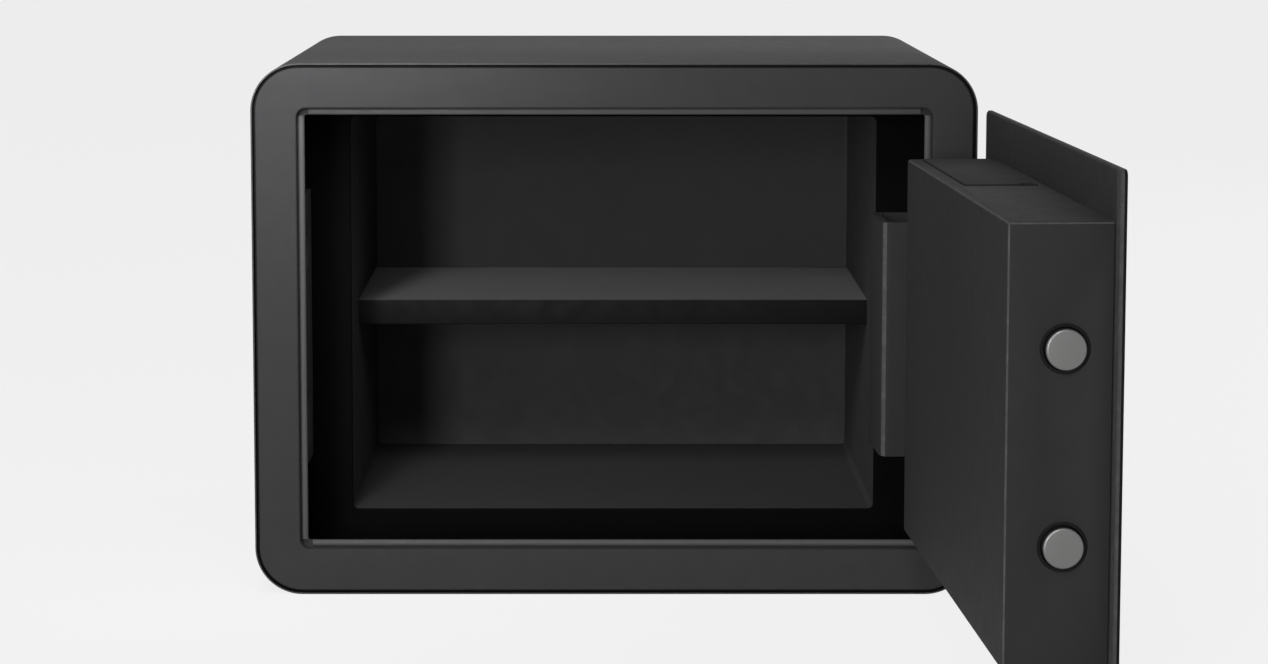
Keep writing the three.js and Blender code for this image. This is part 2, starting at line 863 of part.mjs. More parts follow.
// The bar that carries both bolts, with a forked and ramped tongue for the crank and the plunger
function boltCarriage() {
  const right = carriageBarX + carriageBarThickness;
  const bar = block(
    carriageBarX,
    right,
    boltDepth - carriageBarHalfDepth,
    boltDepth + carriageBarHalfDepth,
    boltLowerZ - carriageBarOverhang,
    boltUpperZ + carriageBarOverhang,
  );
  const tongueOutline = [
    new THREE.Vector2(carriageBarX, carriageTongueBottom),
    new THREE.Vector2(carriageTongueEnd, carriageTongueBottom),
    new THREE.Vector2(carriageTongueEnd, carriageTongueTop + rampRise),
    new THREE.Vector2(rampEndX, carriageTongueTop + rampRise),
    new THREE.Vector2(rampStartX, carriageTongueTop),
    new THREE.Vector2(carriageBarX, carriageTongueTop),
  ];
  const tongueBack = carriageTongueFront + carriageTongueThickness;
  const tongue = upright(tongueOutline, carriageTongueFront, tongueBack);
  const pinX = knobX + crankPinCircle * Math.sin(THREE.MathUtils.degToRad(crankRestDegrees));
  const slotHalf = crankPinRadius + crankSlotGap;
  const fork = block(
    pinX - slotHalf,
    pinX + slotHalf,
    carriageTongueFront - cutOverrun,
    tongueBack + cutOverrun,
    carriageTongueBottom - cutOverrun,
    knobZ + crankPinCircle + slotHalf,
  );
  return cut(joined([bar, tongue]), [fork]);
}

// The turning knob: a round skirt, a tall cap and a raised grip bar across its face
function knob() {
  const back = skinSetBack - collarThickness - endPlay;
  const skirtFace = back - knobSkirtHeight;
  const face = back - knobHeight;
  const cap = turned(knobX, knobZ, [
    [0, back],
    [knobSkirtRadius, back],
    [knobSkirtRadius, skirtFace],
    [knobRadius, skirtFace - knobEdgeRound],
    [knobRadius, face + knobEdgeRound],
    [knobRadius - knobEdgeRound, face],
    [0, face],
  ]);
  const grip = block(
    knobX - knobGripWidth / 2,
    knobX + knobGripWidth / 2,
    face - knobGripHeight,
    face + knobEdgeRound,
    knobZ - knobRadius + knobEdgeRound,
    knobZ + knobRadius - knobEdgeRound,
  );
  const socketFront = back - knobSocketDepth;
  const socket = rodAlongDepth(knobX, knobZ, knobShaftRadius + seatGap, socketFront, back + cutOverrun);
  return cut(joined([cap, grip]), [socket]);
}

function knobShaft() {
  const back = skinSetBack - collarThickness - endPlay;
  return rodAlongDepth(knobX, knobZ, knobShaftRadius, back - knobSocketDepth + seatGap, crankFront - seatGap);
}

function knobCollar() {
  const back = skinSetBack - seatGap;
  return cut(rodAlongDepth(knobX, knobZ, collarRadius, back - collarThickness, back, fineSides), [
    rodAlongDepth(knobX, knobZ, knobShaftRadius + slideGap, back - collarThickness - cutOverrun, skinBack),
  ]);
}

// The disc on the shaft's inner end, with the pin that drives the carriage
function knobCrank() {
  const turn = THREE.MathUtils.degToRad(crankRestDegrees);
  const pinX = knobX + crankPinCircle * Math.sin(turn);
  const pinZ = knobZ + crankPinCircle * Math.cos(turn);
  return joined([
    rodAlongDepth(knobX, knobZ, crankRadius, crankFront, crankFront + crankThickness),
    rodAlongDepth(pinX, pinZ, crankPinRadius, crankPinFront, crankFront + crankThickness),
  ]);
}

function plungerDepth() {
  return carriageTongueFront + carriageTongueThickness / 2;
}

function solenoidBody() {
  const body = block(
    solenoidX - solenoidHalfWidth,
    solenoidX + solenoidHalfWidth,
    lockPlateBack + seatGap,
    solenoidBack,
    solenoidBottom,
    solenoidTop,
  );
  const boreBottom = solenoidBottom - cutOverrun;
  return cut(body, [
    rodAlongHeight(solenoidX, plungerDepth(), plungerRadius + runningGap, boreBottom, plungerBoreTop),
  ]);
}

// The spring-loaded pin whose foot rides on the carriage's ramp
function solenoidPlunger() {
  const rampUnderEdge = carriageTongueTop + (solenoidX + plungerRadius - rampStartX) * rampSlope;
  return rodAlongHeight(solenoidX, plungerDepth(), plungerRadius, rampUnderEdge + slideGap, plungerTopZ);
}

function keyCylinder() {
  const body = joined([
    rodAlongDepth(keyX, keyZ, keyFlangeRadius, keyFace, keyFace + keyFlangeThickness),
    rodAlongDepth(keyX, keyZ, keyBodyRadius, keyFace + seatGap, keyBodyBack),
  ]);
  const boreFront = keyFace - cutOverrun;
  return cut(body, [
    rodAlongDepth(keyX, keyZ, keyPlugRadius + runningGap, boreFront, keyBodyBack + cutOverrun),
  ]);
}

// The turning plug with its key slot and tail
function keyPlug() {
  const plug = rodAlongDepth(keyX, keyZ, keyPlugRadius, keyFace, keyPlugBack);
  const tail = block(
    keyX - keyTailWidth / 2,
    keyX + keyTailWidth / 2,
    keyPlugBack - keyTailThickness,
    keyPlugBack,
    keyZ - keyTailReach,
    keyZ,
  );
  const slot = block(
    keyX - keySlotWidth / 2,
    keyX + keySlotWidth / 2,
    keyFace - cutOverrun,
    keyFace + keySlotDepth,
    keyZ - keySlotHeight / 2,
    keyZ + keySlotHeight / 2,
  );
  return cut(joined([plug, tail]), [slot]);
}

// The round cover that swings aside from the key lock
function keyCover() {
  const back = keyFace - slideGap;
  const front = back - keyCoverThickness;
  const pivotZ = keyZ + keyCoverPivotRise;
  return joined([
    rodAlongDepth(keyX, keyZ, keyCoverRadius, front, back, fineSides),
    block(keyX - keyCoverBossRadius, keyX + keyCoverBossRadius, front, back, keyZ, pivotZ),
    rodAlongDepth(keyX, pivotZ, keyCoverBossRadius, front, back),
    rodAlongDepth(keyX, pivotZ, keyCoverPivotRadius, back, skinBack),
  ]);
}

function keyPlaces() {
  const middle = (keypadLeft + keypadRight) / 2;
  const lowest = keypadBottom + keyFieldRise;
  return Array.from({ length: keyColumns * keyRows }, (_, index) => ({
    x: middle + (index % keyColumns - (keyColumns - 1) / 2) * keyPitchX,
    z: lowest + (keyRows - 1 - Math.floor(index / keyColumns)) * keyPitchZ,
  }));
}

function keyOutline({ x, z }, growth) {
  const [halfWidth, halfHeight] = [keyWidth / 2 + growth, keyHeight / 2 + growth];
  return roundedOutline(x - halfWidth, x + halfWidth, z - halfHeight, z + halfHeight, keyCornerRadius);
}

// The keypad's housing, with a pocket for each key and one for the window
function keypadBezel() {
  const outline = (inset) => roundedOutline(
    keypadLeft + inset,
    keypadRight - inset,
    keypadBottom + inset,
    keypadTop - inset,
    keypadCornerRadius,
  );
  const face = quarterRound(keypadEdgeRound).map(({ across, along }) => ({
    outline: outline(across),
    depth: keypadFace - seatGap + along,
  }));
  const housing = loft([...face, { outline: outline(0), depth: skinSetBack - seatGap }]);
  const pockets = keyPlaces().map((place) => (
    upright(keyOutline(place, runningGap), keypadFace - cutOverrun, skinSetBack - keypadBase)
  ));
  const windowPocket = upright(windowOutline(runningGap), keypadFace - cutOverrun, keypadFace + windowDepth);
  return cut(housing, [...pockets, windowPocket]);
}

function windowOutline(growth) {
  const middle = (keypadLeft + keypadRight) / 2;
  const z = keypadTop - windowBelowTop;
  return roundedOutline(
    middle - windowWidth / 2 - growth,
    middle + windowWidth / 2 + growth,
    z - windowHeight / 2 - growth,
    z + windowHeight / 2 + growth,
    keyCornerRadius,
  );
}

function statusWindow() {
  return upright(windowOutline(0), keypadFace - seatGap, keypadFace + windowDepth - seatGap);
}

// One push key with a soft front edge
function keypadKey(place) {
  const front = keypadFace - keyProud;
  const back = skinSetBack - keypadBase - keyTravel - runningGap;
  const edge = quarterRound(keyProud).map(({ across, along }) => ({
    outline: keyOutline(place, -across),
    depth: front + along,
  }));
  return loft([...edge, { outline: keyOutline(place, 0), depth: back }]);
}

// The board behind the keypad, on four posts
function circuitBoard() {
  const [left, right] = [keypadLeft + boardInset, keypadRight - boardInset];
  const [bottom, top] = [keypadBottom + boardInset, keypadTop - boardInset];
  const plate = block(left, right, boardFront, boardFront + boardThickness, bottom, top);
  const posts = [left + boardPostInset, right - boardPostInset].flatMap((x) => (
    [bottom + boardPostInset, top - boardPostInset].map((z) => (
      rodAlongDepth(x, z, boardPostRadius, skinBack + seatGap, boardFront + boardThickness / 2)
    ))
  ));
  return joined([plate, ...posts]);
}

function buzzer() {
  const front = boardFront + boardThickness + seatGap;
  const x = keypadLeft + boardInset + buzzerInset;
  return rodAlongDepth(x, keypadBottom + boardInset + buzzerInset, buzzerRadius, front, front + buzzerHeight);
}

// An open tray with a rim that hangs under the door box's top
function batteryTray() {
  const rimTop = boxTop - boxWall - seatGap;
  const [left, right] = [lidLeft + seatGap, lidRight - seatGap];
  const [front, back] = [lidFront + seatGap, lidBack - seatGap];
  const bottom = rimTop - trayDepth;
  const rim = block(
    left - trayRim,
    right + trayRim,
    front - trayRim,
    back + trayRim,
    rimTop - trayWall,
    rimTop,
  );
  const tub = block(left, right, front, back, bottom, rimTop);
  const inside = block(
    left + trayWall,
    right - trayWall,
    front + trayWall,
    back - trayWall,
    bottom + trayWall,
    rimTop + cutOverrun,
  );
  return cut(joined([rim, tub]), [inside]);
}

// One cell of four that lie end to end in two rows, each row the other way round
function batteryCell(row, end) {
  const z = boxTop - boxWall - seatGap - trayDepth + trayWall + seatGap + cellRadius;
  const near = (lidLeft + lidRight) / 2 + end * (seatGap + cellNubLength);
  const [left, right] = [near, near + end * cellLength].sort((a, b) => a - b);
  const nub = row > 0 ? [left - cellNubLength, left] : [right, right + cellNubLength];
  const depth = (lidFront + lidBack) / 2 + row * (cellRadius + seatGap);
  return joined([
    rodAlongWidth(depth, z, cellRadius, left, right),
    rodAlongWidth(depth, z, cellNubRadius, nub[0], nub[1]),
  ]);
}

// The battery lid, a little proud of the door box's top, with a finger notch at one end
function batteryLid() {
  const top = boxTop + lidProud;
  const plate = block(lidLeft, lidRight, lidFront, lidBack, top - lidThickness, top);
  const notchFront = lidFront + lidNotchInset;
  const notch = block(
    lidLeft - cutOverrun,
    lidLeft + lidNotchLength,
    notchFront,
    notchFront + lidNotchWidth,
    top - lidThickness - cutOverrun,
    top + cutOverrun,
  );
  return cut(plate, [notch]);
}

const painted = { color: 0x3b3c3e, roughness: 0.55, metalness: 0.1 };
const liningPaint = { color: 0x232425, roughness: 0.8, metalness: 0 };
const brightSteel = { color: 0x8d8f91, roughness: 0.35, metalness: 0.9 };
const zincSteel = { color: 0xa3a5a8, roughness: 0.45, metalness: 0.85 };
const blackPlastic = { color: 0x1c1d1e, roughness: 0.5, metalness: 0 };
const palePlastic = { color: 0xb9bcbf, roughness: 0.5, metalness: 0 };
const brass = { color: 0xb08d4a, roughness: 0.4, metalness: 0.9 };
const felt = { color: 0x2b2c2e, roughness: 0.95, metalness: 0 };
const boardGreen = { color: 0x24563a, roughness: 0.6, metalness: 0 };
const windowTint = { color: 0x30363c, roughness: 0.15, metalness: 0 };
const cellJacket = { color: 0x4a5560, roughness: 0.4, metalness: 0.3 };

function addPart(parent, name, body, finish) {
  const mesh = new THREE.Mesh(geometryOf(body), new THREE.MeshStandardMaterial(finish));
  mesh.name = name;
  parent.add(mesh);
}

const group = new THREE.Group();

const cabinet = new THREE.Group();
cabinet.position.set(0, -bodyDepth / 2, 0);
group.add(cabinet);

addPart(cabinet, 'outer_shell', outerShell(), painted);
addPart(cabinet, 'front_frame', frontFrame(), painted);
addPart(cabinet, 'inner_liner', innerLiner(), liningPaint);
addPart(cabinet, 'rear_panel', rearPanel(), painted);
addPart(cabinet, 'strike_plate', strikePlate(), zincSteel);
addPart(cabinet, 'hinge_bracket_upper', hingeBracket(1), zincSteel);
addPart(cabinet, 'hinge_bracket_lower', hingeBracket(-1), zincSteel);
addPart(cabinet, 'hinge_pin', hingePin(), brightSteel);
addPart(cabinet, 'hinge_pin_clip', hingePinClip(), brightSteel);
addPart(cabinet, 'shelf_rail_left', shelfRail(-1), liningPaint);
addPart(cabinet, 'shelf_rail_right', shelfRail(1), liningPaint);
addPart(cabinet, 'shelf_tray', shelfTray(), liningPaint);
addPart(cabinet, 'floor_mat', floorMat(), felt);
addPart(cabinet, 'anchor_plug_left', anchorPlug(-1), blackPlastic);
addPart(cabinet, 'anchor_plug_right', anchorPlug(1), blackPlastic);

// The door turns about the hinge pin, and its pieces are drawn closed
const doorSwing = new THREE.Group();
doorSwing.position.set(hingeX, hingeDepth, 0);
doorSwing.rotation.z = THREE.MathUtils.degToRad(restOpeningDegrees);
cabinet.add(doorSwing);

const door = new THREE.Group();
door.position.set(-hingeX, -hingeDepth, 0);
doorSwing.add(door);

addPart(door, 'door_skin', doorSkin(), painted);
addPart(door, 'door_box', doorBox(), painted);
addPart(door, 'hinge_arm', hingeArm(), painted);
addPart(door, 'hinge_bush_upper', hingeBush(1), blackPlastic);
addPart(door, 'hinge_bush_lower', hingeBush(-1), blackPlastic);
addPart(door, 'arm_screw_upper', armScrew(armScrewHeights[0]), zincSteel);
addPart(door, 'arm_screw_lower', armScrew(armScrewHeights[1]), zincSteel);
addPart(door, 'lock_plate', lockPlate(), zincSteel);
addPart(door, 'bolt_bush_upper', boltBush(boltUpperZ), blackPlastic);
addPart(door, 'bolt_bush_lower', boltBush(boltLowerZ), blackPlastic);
addPart(door, 'solenoid_body', solenoidBody(), blackPlastic);
addPart(door, 'circuit_board', circuitBoard(), boardGreen);
addPart(door, 'buzzer', buzzer(), blackPlastic);
addPart(door, 'battery_tray', batteryTray(), blackPlastic);
[-1, 1].forEach((row) => [-1, 1].forEach((end) => {
  const name = `battery_cell_${row > 0 ? 'rear' : 'front'}_${end > 0 ? 'right' : 'left'}`;
  addPart(door, name, batteryCell(row, end), cellJacket);
}));
addPart(door, 'keypad_bezel', keypadBezel(), blackPlastic);
addPart(door, 'status_window', statusWindow(), windowTint);
addPart(door, 'knob_collar', knobCollar(), blackPlastic);
addPart(door, 'key_cylinder', keyCylinder(), brass);
addPart(door, 'bolt_carriage', boltCarriage(), zincSteel);
addPart(door, 'bolt_upper', bolt(boltUpperZ), brightSteel);
addPart(door, 'bolt_lower', bolt(boltLowerZ), brightSteel);
addPart(door, 'knob', knob(), blackPlastic);
addPart(door, 'knob_shaft', knobShaft(), zincSteel);
addPart(door, 'knob_crank', knobCrank(), zincSteel);
addPart(door, 'solenoid_plunger', solenoidPlunger(), brightSteel);
addPart(door, 'key_plug', keyPlug(), brass);
addPart(door, 'key_cover', keyCover(), blackPlastic);
addPart(door, 'battery_lid', batteryLid(), painted);

const keyNames = ['1', '2', '3', '4', '5', '6', '7', '8', '9', 'clear', '0', 'enter'];
keyPlaces().forEach((place, index) => {
  addPart(door, `key_${keyNames[index]}`, keypadKey(place), palePlastic);
});

export default group;
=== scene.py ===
import json
import math

import bmesh
import bpy
from bpy.props import FloatProperty, FloatVectorProperty, IntProperty, PointerProperty
from mathutils import Matrix, Vector


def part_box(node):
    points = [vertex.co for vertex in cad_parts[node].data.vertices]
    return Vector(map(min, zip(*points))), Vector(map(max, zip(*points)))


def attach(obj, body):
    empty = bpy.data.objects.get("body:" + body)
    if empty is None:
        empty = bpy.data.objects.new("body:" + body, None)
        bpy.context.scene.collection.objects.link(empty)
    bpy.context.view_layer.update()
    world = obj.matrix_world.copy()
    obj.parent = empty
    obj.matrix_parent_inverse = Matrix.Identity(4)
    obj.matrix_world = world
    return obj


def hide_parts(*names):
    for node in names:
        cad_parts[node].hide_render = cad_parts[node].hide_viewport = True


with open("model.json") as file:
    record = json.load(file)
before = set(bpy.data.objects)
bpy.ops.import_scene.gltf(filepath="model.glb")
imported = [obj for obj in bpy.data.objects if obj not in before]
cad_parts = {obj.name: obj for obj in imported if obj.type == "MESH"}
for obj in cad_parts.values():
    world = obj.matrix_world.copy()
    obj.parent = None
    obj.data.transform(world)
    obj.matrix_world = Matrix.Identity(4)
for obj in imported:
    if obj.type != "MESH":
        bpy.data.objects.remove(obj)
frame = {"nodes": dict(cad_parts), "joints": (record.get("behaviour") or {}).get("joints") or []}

bl_info = {
    "name": "Steel Safe Builder",
    "version": (1, 0, 0),
    "blender": (4, 5, 0),
    "location": "3D View > Sidebar > Safe",
    "description": "Builds a compact steel safe with an open door, piece by piece, on its packed frame",
    "category": "Object",
}

# Pieces are drawn in millimetres as (across, depth behind the front, height), with the door closed,
# and are put in metres on the frame by one of the two places below, or round the origin.
MM = 0.001
DOOR_JOINT = next(joint for joint in frame["joints"] if joint["name"] == "door_hinge")
HINGE = Vector(DOOR_JOINT["pos_m"])
REST_TURN = -math.radians(DOOR_JOINT["range_deg"][0])
FRONT_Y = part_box("outer_shell")[0].y
ORIGIN = Matrix.Scale(MM, 4)
CABINET_PLACE = Matrix.Translation((0, FRONT_Y, 0)) @ ORIGIN
DOOR_PLACE = (
    Matrix.Translation(HINGE) @ Matrix.Rotation(REST_TURN, 4, "Z") @ Matrix.Translation(-HINGE) @ CABINET_PLACE
)
ACROSS, DEEP, UP = (1, 0, 0), (0, 1, 0), (0, 0, 1)


def corners_of(points):
    """The lowest and highest corners of some points."""
    sides = list(zip(*points))
    return Vector(map(min, sides)), Vector(map(max, sides))


def node_points(node, place):
    """The points of a frame node in a place's own millimetres."""
    back = place.inverted()
    return [back @ vertex.co for vertex in frame["nodes"][node].data.vertices]


def span(node, place=DOOR_PLACE):
    """A frame node's lowest and highest corners, middle and half size in a place's own millimetres."""
    low, high = corners_of(node_points(node, place))
    return low, high, [(a + b) / 2 for a, b in zip(low, high)], [(b - a) / 2 for a, b in zip(low, high)]


def mouth(node, depth):
    """The left, right, bottom and top of the hole that a node of the cabinet has at a depth."""
    level = [point for point in node_points(node, CABINET_PLACE) if abs(point.y - depth) < 0.01]
    sides = []
    for middle, parts in (
        (0, [point.x for point in level]),
        (sum(point.z for point in level) / len(level), [point.z for point in level]),
    ):
        sides += [max(part for part in parts if part < middle), min(part for part in parts if part > middle)]
    return sides


BODY_LOW, BODY_HIGH = span("outer_shell", CABINET_PLACE)[:2]
BODY = (BODY_LOW.x, BODY_HIGH.x, BODY_LOW.z, BODY_HIGH.z)
SKIRT_INSET = 1.3
PLATE_BACK = 3
LEDGE_DEPTH = 5.2
LEDGE_BACK = 7.2
LEDGE = mouth("front_frame", LEDGE_BACK)
LINER_LOW, LINER_HIGH = span("inner_liner", CABINET_PLACE)[:2]
LINER = mouth("inner_liner", LINER_LOW.y)
LINER_WALL = 1.5


# Properties

def number(name, value, description, **more):
    return FloatProperty(name=name, description=description, default=value, **more)


def length(name, value, description):
    return number(name, value * MM, description, min=0, unit="LENGTH", precision=5)


def power(name, value, description):
    return number(name, value, description, min=0, unit="POWER")


def colour(name, value, description):
    return FloatVectorProperty(
        name=name, description=description, default=value, min=0, max=1, size=3, subtype="COLOR"
    )


class SafeCabinetSettings(bpy.types.PropertyGroup):
    corner_radius: length("Corner Radius", 25, "Radius of the cabinet's four long corners")
    wall: length("Wrap Thickness", 1, "Thickness of the steel wrap")
    lip_round: length("Lip Rounding", 0.45, "Rounding of the wrap's front and back edges")
    frame_inset: length("Frame Inset", 2.3, "Distance from the wrap's outside to the front frame")
    frame_round: length("Frame Edge Rounding", 0.9, "Rounding of the front frame's outer edge")
    opening_round: length("Opening Rounding", 1, "Rounding of the edge round the door opening")
    opening_corner: length("Opening Corner Radius", 5, "Corner radius of the door opening")
    ledge_width: length("Ledge Width", 3.8, "Width of the ledge that the door closes onto")
    bead_rise: length("Bead Rise", 1.3, "Height of the beads pressed into the ledge")
    liner_corner: length("Liner Corner Radius", 3, "Radius of the inner box's corners")
    paint: colour("Paint", (0.036, 0.036, 0.0375), "Powder paint on the outside")
    # The rubbed paint is lighter paint on folds, lips and beads: partly wear, partly painted highlight.
    rubbed_and_lit: colour("Rubbed_And_Lit Paint", (0.085, 0.085, 0.087), "Paint that is rubbed light on folds, lips and beads")
    lining: colour("Lining Paint", (0.05, 0.05, 0.0505), "Paint inside the cabinet")
    # The undercoat colour is painted shade in seams, gaps, folds and the shelf's front.
    rim: colour("Painted_Shade_Colour", (0.003, 0.003, 0.0033), "Black painted_shade in the seams and folds")
    shelf_top: colour("Shelf Top", (0.05, 0.05, 0.0505), "Flocked coat on the shelf's upper side")
    felt: colour("Felt", (0.012, 0.012, 0.013), "Felt of the floor mat")


class SafeDoorSettings(bpy.types.PropertyGroup):
    # The door's paint is a darker copy of the body's paint; the difference is painted shade.
    paint: colour("Door Paint", (0.031, 0.031, 0.032), "Powder paint of the door")
    plate_round: length("Plate Edge Rounding", 0.6, "Rounding of the door plate's edges")
    fold_round: length("Fold Rounding", 1.4, "Rounding of the folded edges of the door box")
    arm_round: length("Arm Edge Rounding", 0.8, "Rounding of the hinge arm's edges")
    guide_lip: length("Bolt Lip Width", 1.5, "Width of the plastic lip round each bolt")
    guide_lip_rise: length("Bolt Lip Rise", 0.4, "Height of the plastic lip round each bolt")
    bolt_chamfer: length("Bolt Tip Rounding", 1.2, "Rounding of the bolts' tips")
    bolt_steel: colour("Bolt Steel", (0.175, 0.175, 0.173), "Colour of the bolts")


class SafeLockSettings(bpy.types.PropertyGroup):
    knob_ribs: IntProperty(name="Knob Ribs", description="Grip ribs round the knob", default=24, min=3, max=60)
    rib_width: length("Rib Width", 1.6, "Width of one grip rib")
    key_corner: length("Key Corner Radius", 3, "Corner radius of the keypad's keys")
    key_dish: length("Key Dish", 0.35, "Depth of the hollow in a key's face")
    mark_height: length("Mark Height", 7, "Height of the numbers on the keys")
    black: colour("Black Plastic", (0.012, 0.012, 0.013), "Plastic of the knob and the keypad")
    key: colour("Key Plastic", (0.032, 0.033, 0.035), "Plastic of the keys")
    mark: colour("Mark Colour", (0.62, 0.62, 0.6), "Colour of the numbers")
    brass: colour("Plated Brass", (0.52, 0.46, 0.36), "Metal of the key lock")


class SafeStageSettings(bpy.types.PropertyGroup):
    lens: number("Lens", 88.57, "Focal length of the camera", min=1, unit="CAMERA")
    eye_across: number("Eye Across", -0.0097, "Camera position across", unit="LENGTH")
    eye_back: number("Eye Depth", -1.7627, "Camera position in depth", unit="LENGTH")
    eye_height: length("Eye Height", 381.3, "Camera height above the floor")
    tilt: number("Tilt", 0.1065, "How far the camera looks down", subtype="ANGLE")
    shift_across: number("Shift Across", 0.0303, "Sideways shift of the frame")
    shift_up: number("Shift Up", -0.1, "Upward shift of the frame")
    backdrop: colour("Backdrop", (0.863, 0.863, 0.863), "Plain colour behind and under the safe")
    key_power: power("Key Power", 16, "Power of the main lamp")
    high_power: power("High Power", 16, "Power of the high lamp")
    corner_power: power("Corner Power", 0.62, "Power of the lamp near the upper left corner")
    fill_power: power("Fill Power", 2.5, "Power of the lamp behind")
    side_power: power("Side Power", 7, "Power of the lamp at the right")
    sky: number("Sky", 0.1, "Plain light from all round", min=0, max=2)


def cabinet():
    return bpy.context.scene.safe_cabinet


def door():
    return bpy.context.scene.safe_door


def lock():
    return bpy.context.scene.safe_lock


def mm(value):
    return value / MM


# Nodes and finishes

def fill(tree, sockets, values):
    """Give each named or numbered socket a value or a link."""
    for name, value in values.items():
        if isinstance(value, bpy.types.NodeSocket):
            tree.links.new(value, sockets[name])
        else:
            sockets[name].default_value = value


def out_of(tree, kind, values=None, output=0, **settings):
    """An output of a new node with the given settings, and with a value or a link for its inputs."""
    made = tree.nodes.new(kind)
    for name, value in settings.items():
        setattr(made, name, value)
    fill(tree, made.inputs, values or {})
    return made.outputs[output]


def maths(tree, operation, *values):
    return out_of(tree, "ShaderNodeMath", dict(enumerate(values)), operation=operation)


def noise(tree, place, scale, detail, roughness=0.55):
    values = {"Vector": place, "Scale": scale, "Detail": detail, "Roughness": roughness}
    return out_of(tree, "ShaderNodeTexNoise", values)


def spread(tree, value, low, high, new_low, new_high):
    values = {"Value": value, "From Min": low, "From Max": high, "To Min": new_low, "To Max": new_high}
    return out_of(tree, "ShaderNodeMapRange", values)


def mixed(tree, share, first, second):
    """Two colours mixed by a share. The numbers are the colour sockets of the node."""
    return out_of(tree, "ShaderNodeMix", {0: share, 6: first, 7: second}, 2, data_type="RGBA")


def marked(tree, name):
    return out_of(tree, "ShaderNodeAttribute", output="Fac", attribute_name=name)


def shade(base, amount=1.0):
    """A colour with its channels multiplied, and no transparency."""
    return (*[min(1, channel * amount) for channel in base[:3]], 1)


CLOUD_SCALE = 17
WEAR_AND_HIGHLIGHT_SCALE = 130
GLOSS_SCALE = 95
PEEL_DEPTH = 0.0004
GRAIN_DEPTH = 0.0001
RELIEF = 4


def recipes():
    """The finishes: colour, roughness, metal, grain, peel, mottle, change of roughness, and the rest by name.

    Grain and peel are each a scale and a strength.
    """
    box, keys = cabinet(), lock()
    # The folds share lightens nearly all rounded edges, as wear and painted highlight, and darkens marked seams with
    # painted shade.
    folds = dict(wear_and_highlight_share=0.95, wear_and_highlight_least=0.6, rim=box.rim)
    return {
        "body_paint": (box.paint, 0.76, 0, (1500, 0.1), (260, 0.03), 0.03, 0.04,
                       dict(folds, wear_and_highlight=box.rubbed_and_lit, specular=0.25)),
        # The door's paint is darker than the body's as painted shade, and its edges take a brighter painted
        # highlight.
        "door_shaded_paint": (door().paint, 0.78, 0, (1500, 0.1), (260, 0.03), 0.03, 0.04,
                       dict(folds, wear_and_highlight=shade(box.rubbed_and_lit, 1.4), specular=0.15)),
        # The rubbed paint finish colours the ledge beads all over: painted highlight, partly wear.
        "rubbed_and_lit_paint": (box.rubbed_and_lit, 0.6, 0, (1500, 0.08), (260, 0.03), 0.06, 0.07, dict(specular=0.3)),
        "lid_paint": (shade(box.paint, 0.6), 0.8, 0, (1700, 0.1), (420, 0.03), 0.04, 0.04,
                      dict(wear_and_highlight=box.paint, wear_and_highlight_share=0.3, specular=0.2)),
        "lining_paint": (box.lining, 0.66, 0, (1500, 0.04), (260, 0.05), 0.04, 0.07,
                         dict(wear_and_highlight=(0.09, 0.09, 0.09), wear_and_highlight_share=0.2, rim=box.rim, specular=0.14)),
        # The flange finish is near black with no gloss: painted shade on the inner box's front flange.
        "flange_painted_shade": ((0.005, 0.005, 0.005), 0.9, 0, (1500, 0.1), (260, 0.03), 0.08, 0.05, dict(specular=0.0)),
        "shelf_cover": (box.shelf_top, 0.9, 0, (2400, 0.16), (800, 0.1), 0.12, 0.03,
                        dict(wear_and_highlight=box.shelf_top, wear_and_highlight_share=0.2, specular=0.1)),
        "felt": (box.felt, 0.95, 0, (2600, 0.2), (900, 0.16), 0.25, 0.03, dict(specular=0.1)),
        "bright_steel": (door().bolt_steel, 0.36, 1, (2400, 0.015), (700, 0.01), 0.02, 0.03, {}),
        "zinc_steel": ((0.36, 0.36, 0.35), 0.42, 1, (1900, 0.05), (60, 0.03), 0.12, 0.12,
                       dict(wear_and_highlight=(0.5, 0.5, 0.48))),
        "lock_brass": (keys.brass, 0.3, 1, (2200, 0.03), (500, 0.02), 0.06, 0.07, dict(wear_and_highlight=(0.7, 0.62, 0.45))),
        "black_plastic": (keys.black, 0.45, 0, (2600, 0.06), (900, 0.03), 0.1, 0.07,
                          dict(wear_and_highlight=(0.05, 0.05, 0.052), wear_and_highlight_share=0.4)),
        # The guide plastic is near black: partly its own colour, partly painted shade round the bolts.
        "guide_plastic_and_shade": (shade(keys.black, 0.3), 0.65, 0, (2600, 0.05), (900, 0.02), 0.1, 0.07, dict(specular=0.15)),
        "key_plastic": (keys.key, 0.4, 0, (3000, 0.04), (1100, 0.02), 0.07, 0.07,
                        dict(wear_and_highlight=(0.09, 0.09, 0.092), wear_and_highlight_share=0.35)),
        "mark_ink": (keys.mark, 0.5, 0, (4000, 0.03), (1600, 0.02), 0.05, 0.07, {}),
        "window_tint": ((0.02, 0.012, 0.012), 0.12, 0, (900, 0.005), (200, 0.01), 0.05, 0.03, {}),
        "board": ((0.02, 0.09, 0.045), 0.45, 0, (1800, 0.03), (400, 0.03), 0.1, 0.07, dict(wear_and_highlight=(0.12, 0.16, 0.1))),
        "cell_jacket": ((0.03, 0.045, 0.09), 0.35, 0, (1200, 0.02), (300, 0.02), 0.06, 0.07,
                        dict(wear_and_highlight=(0.4, 0.4, 0.38))),
    }


def finish(coat):
    """The material of a finish, which is made once."""
    name = coat + "_finish"
    if name not in bpy.data.materials:
        *recipe, more = recipes()[coat]
        make_finish(bpy.data.materials.new(name), *recipe, **more)
    return bpy.data.materials[name]


